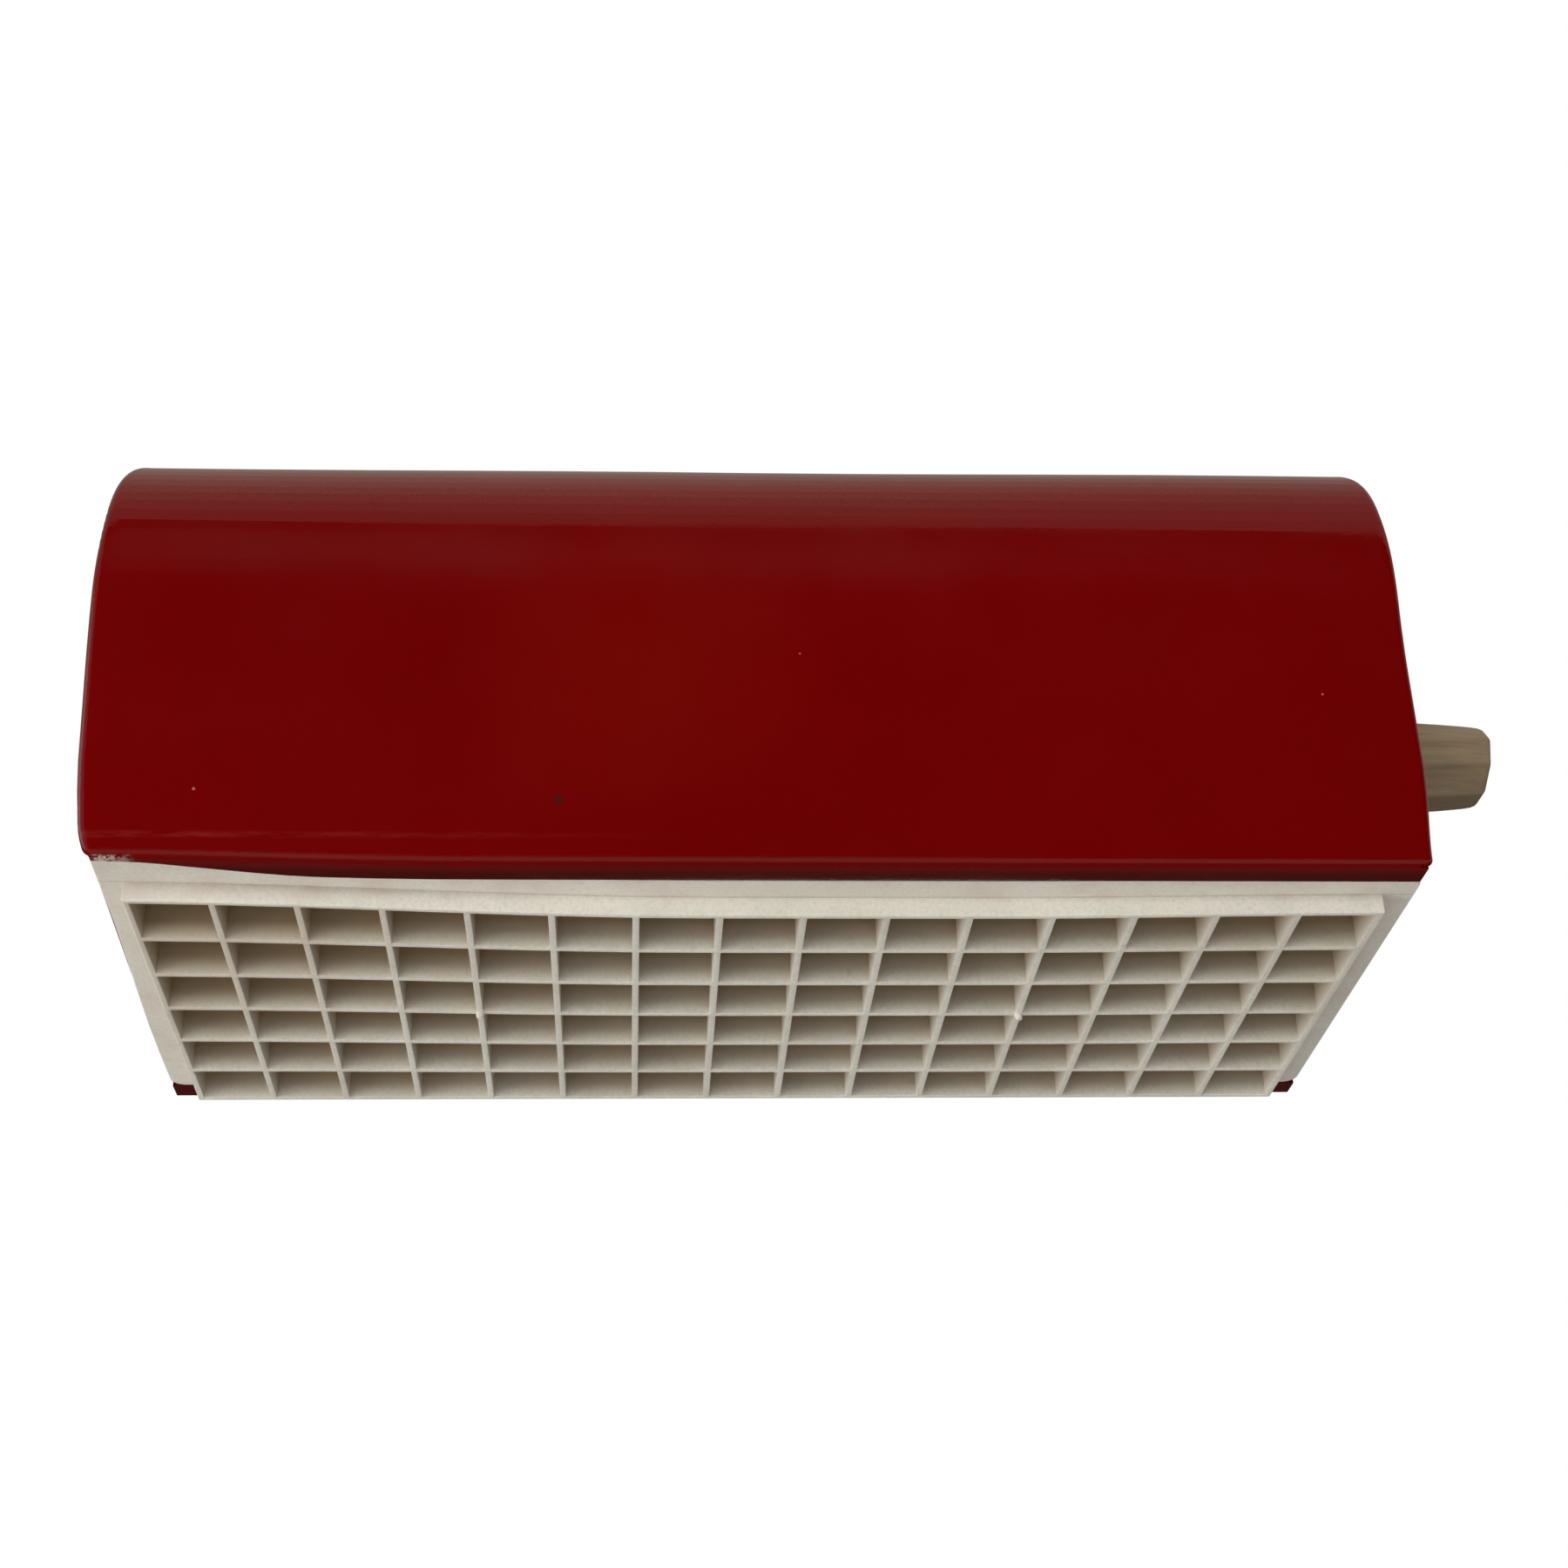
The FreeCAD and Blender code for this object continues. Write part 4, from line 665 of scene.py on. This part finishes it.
def knobScrewHole(bm):
    # round hole for the fixing screw on the rear flat
    look = knobLook
    middle = Vector((look["screwAlong"], look["axis"][0] + look["screwFlat"], look["axis"][1]))
    face = min(bm.faces, key=lambda f: (f.calc_center_median() - middle).length)
    bmesh.ops.inset_individual(bm, faces=[face], thickness=look["screwRim"], use_even_offset=True)
    bmesh.ops.subdivide_edges(bm, edges=face.edges[:], cuts=look["screwCuts"])
    hole = min(bm.faces, key=lambda f: (f.calc_center_median() - middle).length)
    for vert in hole.verts:
        away = Vector((vert.co.x - middle.x, 0, vert.co.z - middle.z)).normalized() * look["screwHole"]
        vert.co.x, vert.co.z = middle.x + away.x, middle.z + away.z
    pulled = bmesh.ops.extrude_face_region(bm, geom=[hole])["geom"]
    bmesh.ops.translate(bm, vec=(0, -look["screwDepth"], 0), verts=only(bmesh.types.BMVert, pulled))
    if hole.is_valid:
        bmesh.ops.delete(bm, geom=[hole], context="FACES_ONLY")


buildHood()
buildLouvre()
buildKnob()


# floor, reflection cards, light and camera
stageLook = {
    "floorHeight": -0.9, "floorHalf": 6.0, "floor": (0.86, 0.86, 0.85), "floorCloud": (0.82, 0.82, 0.81),
    "floorCloudSize": 3.0, "floorRoughness": 0.9, "ambient": 0.29, "cardSteps": 24,
    # name, first and last angle from the front upwards, radius, left, right, glow in front and behind
    "cards": (("frontCard", -18, 69, 2.8, -2.0, 16, 0.0, 0.0),
              ("topCard", 69, 150, 2.8, -5, 16, 0.19, 0.29),
              ("dimCard", 42, 62, 2.7, -1.9, -0.2, 0.045, 0.045),
              ("lowCard", -62, -18, 0.8, -5, 5, 0.4, 0.4),
              ("backCard", 150, 298, 0.78, -5, 6, 0.04, 0.04),
              ("sideCard", -18, 69, 2.8, -9, -2.0, 0.28, 0.28)),
    "cardBlack": (0.01, 0.01, 0.01), "cardGlow": (1, 0.91, 0.78), "cardBlend": (-1.0, 1.0),
    # name, place, aim, size, power, colour
    "lights": (("keyFromLeft", (-1.35, -0.35, -0.55), (0, -0.06, -0.06), (0.8, 0.8), 11.0, (1.0, 0.98, 0.95)),
               ("fillFromFront", (-0.25, -1.6, -0.16), (0, -0.06, -0.04), (1.3, 0.5), 12.0, (1, 1, 1)),
               ("softFromAbove", (0.0, -1.0, 1.3), (0, -0.08, 0.02), (1.2, 0.9), 13.0, (1, 1, 1))),
}
cameraLook = {
    "lens": 56.145, "sensor": 36.0, "clipStart": 0.01, "place": (-0.02295, -0.49319, -0.25771),
    "right": (0.998115, -0.056219, -0.024633), "up": (-0.004706, -0.470245, 0.882523),
}


def stageObject(bm, name, mat):
    mesh = bpy.data.meshes.new(name)
    bm.to_mesh(mesh)
    bm.free()
    mesh.materials.append(mat)
    item = bpy.data.objects.new(name, mesh)
    bpy.context.collection.objects.link(item)
    return item


def makeFloor():
    look = stageLook
    bm = bmesh.new()
    bmesh.ops.create_grid(bm, x_segments=2, y_segments=2, size=look["floorHalf"])
    bmesh.ops.translate(bm, vec=(0, 0, look["floorHeight"]), verts=bm.verts)
    mat, tree, shader = newMaterial("studioFloor")
    cloud = noise(tree, objectPoint(tree), look["floorCloudSize"])
    tree.links.new(mixColor(tree, cloud, look["floor"], look["floorCloud"]), shader.inputs["Base Color"])
    shader.inputs["Roughness"].default_value = look["floorRoughness"]
    stageObject(bm, "studioFloor", mat)


def makeWorld():
    # white where it is seen or mirrored, dimmer as a light
    world = bpy.data.worlds.new("studio")
    bpy.context.scene.world = world
    world.use_nodes = True
    tree = world.node_tree
    paths = addNode(tree, "ShaderNodeLightPath").outputs
    seen = maths(tree, "MAXIMUM", paths["Is Camera Ray"], paths["Is Glossy Ray"])
    seen = maths(tree, "MAXIMUM", seen, paths["Is Transmission Ray"])
    back = tree.nodes["Background"]
    back.inputs["Color"].default_value = (1, 1, 1, 1)
    ambient = stageLook["ambient"]
    tree.links.new(maths(tree, "MULTIPLY_ADD", seen, 1.0 - ambient, ambient), back.inputs["Strength"])


def makeCard(name, start, end, radius, left, right, glow, glowBehind):
    # a curved card round the object, seen only in its gloss
    bm = bmesh.new()
    first = math.radians(start)
    ends = [bm.verts.new((x, -radius * math.cos(first), radius * math.sin(first))) for x in (left, right)]
    edge = bm.edges.new(ends)
    bmesh.ops.spin(bm, geom=[*ends, edge], cent=(0, 0, 0), axis=(-1, 0, 0),
                   angle=math.radians(end - start), steps=stageLook["cardSteps"])
    mat, tree, shader = newMaterial(name)
    feed(tree, shader.inputs["Base Color"], stageLook["cardBlack"])
    feed(tree, shader.inputs["Emission Color"], stageLook["cardGlow"])
    back = axesOf(tree, objectPoint(tree))["Y"]
    strength = ramp(tree, back, *stageLook["cardBlend"], glow, glowBehind)
    tree.links.new(strength, shader.inputs["Emission Strength"])
    shader.inputs["Roughness"].default_value = 1.0
    shader.inputs["Specular IOR Level"].default_value = 0.0
    card = stageObject(bm, name, mat)
    for kind in ("camera", "diffuse", "transmission", "volume_scatter", "shadow"):
        setattr(card, "visible_" + kind, False)


def softLight(name, place, aim, size, power, color):
    data = bpy.data.lights.new(name, "AREA")
    data.shape = "RECTANGLE"
    data.size, data.size_y = size
    data.energy = power
    data.color = color
    lamp = bpy.data.objects.new(name, data)
    bpy.context.collection.objects.link(lamp)
    lamp.location = place
    lamp.rotation_euler = (Vector(aim) - Vector(place)).to_track_quat("-Z", "Y").to_euler()
    lamp.visible_glossy = False
    lamp.visible_camera = False


def makeCamera():
    look = cameraLook
    data = bpy.data.cameras.new("photoView")
    data.sensor_width = look["sensor"]
    data.lens = look["lens"]
    data.clip_start = look["clipStart"]
    view = bpy.data.objects.new("photoView", data)
    bpy.context.collection.objects.link(view)
    right, up = Vector(look["right"]), Vector(look["up"])
    axes = Matrix((right, up, right.cross(up))).transposed()
    view.matrix_world = Matrix.Translation(look["place"]) @ axes.to_4x4()
    bpy.context.scene.camera = view


makeFloor()
makeWorld()
for card in stageLook["cards"]:
    makeCard(*card)
for light in stageLook["lights"]:
    softLight(*light)
makeCamera()
bpy.context.scene.view_settings.view_transform = "Standard"
print("stage, light and camera set")
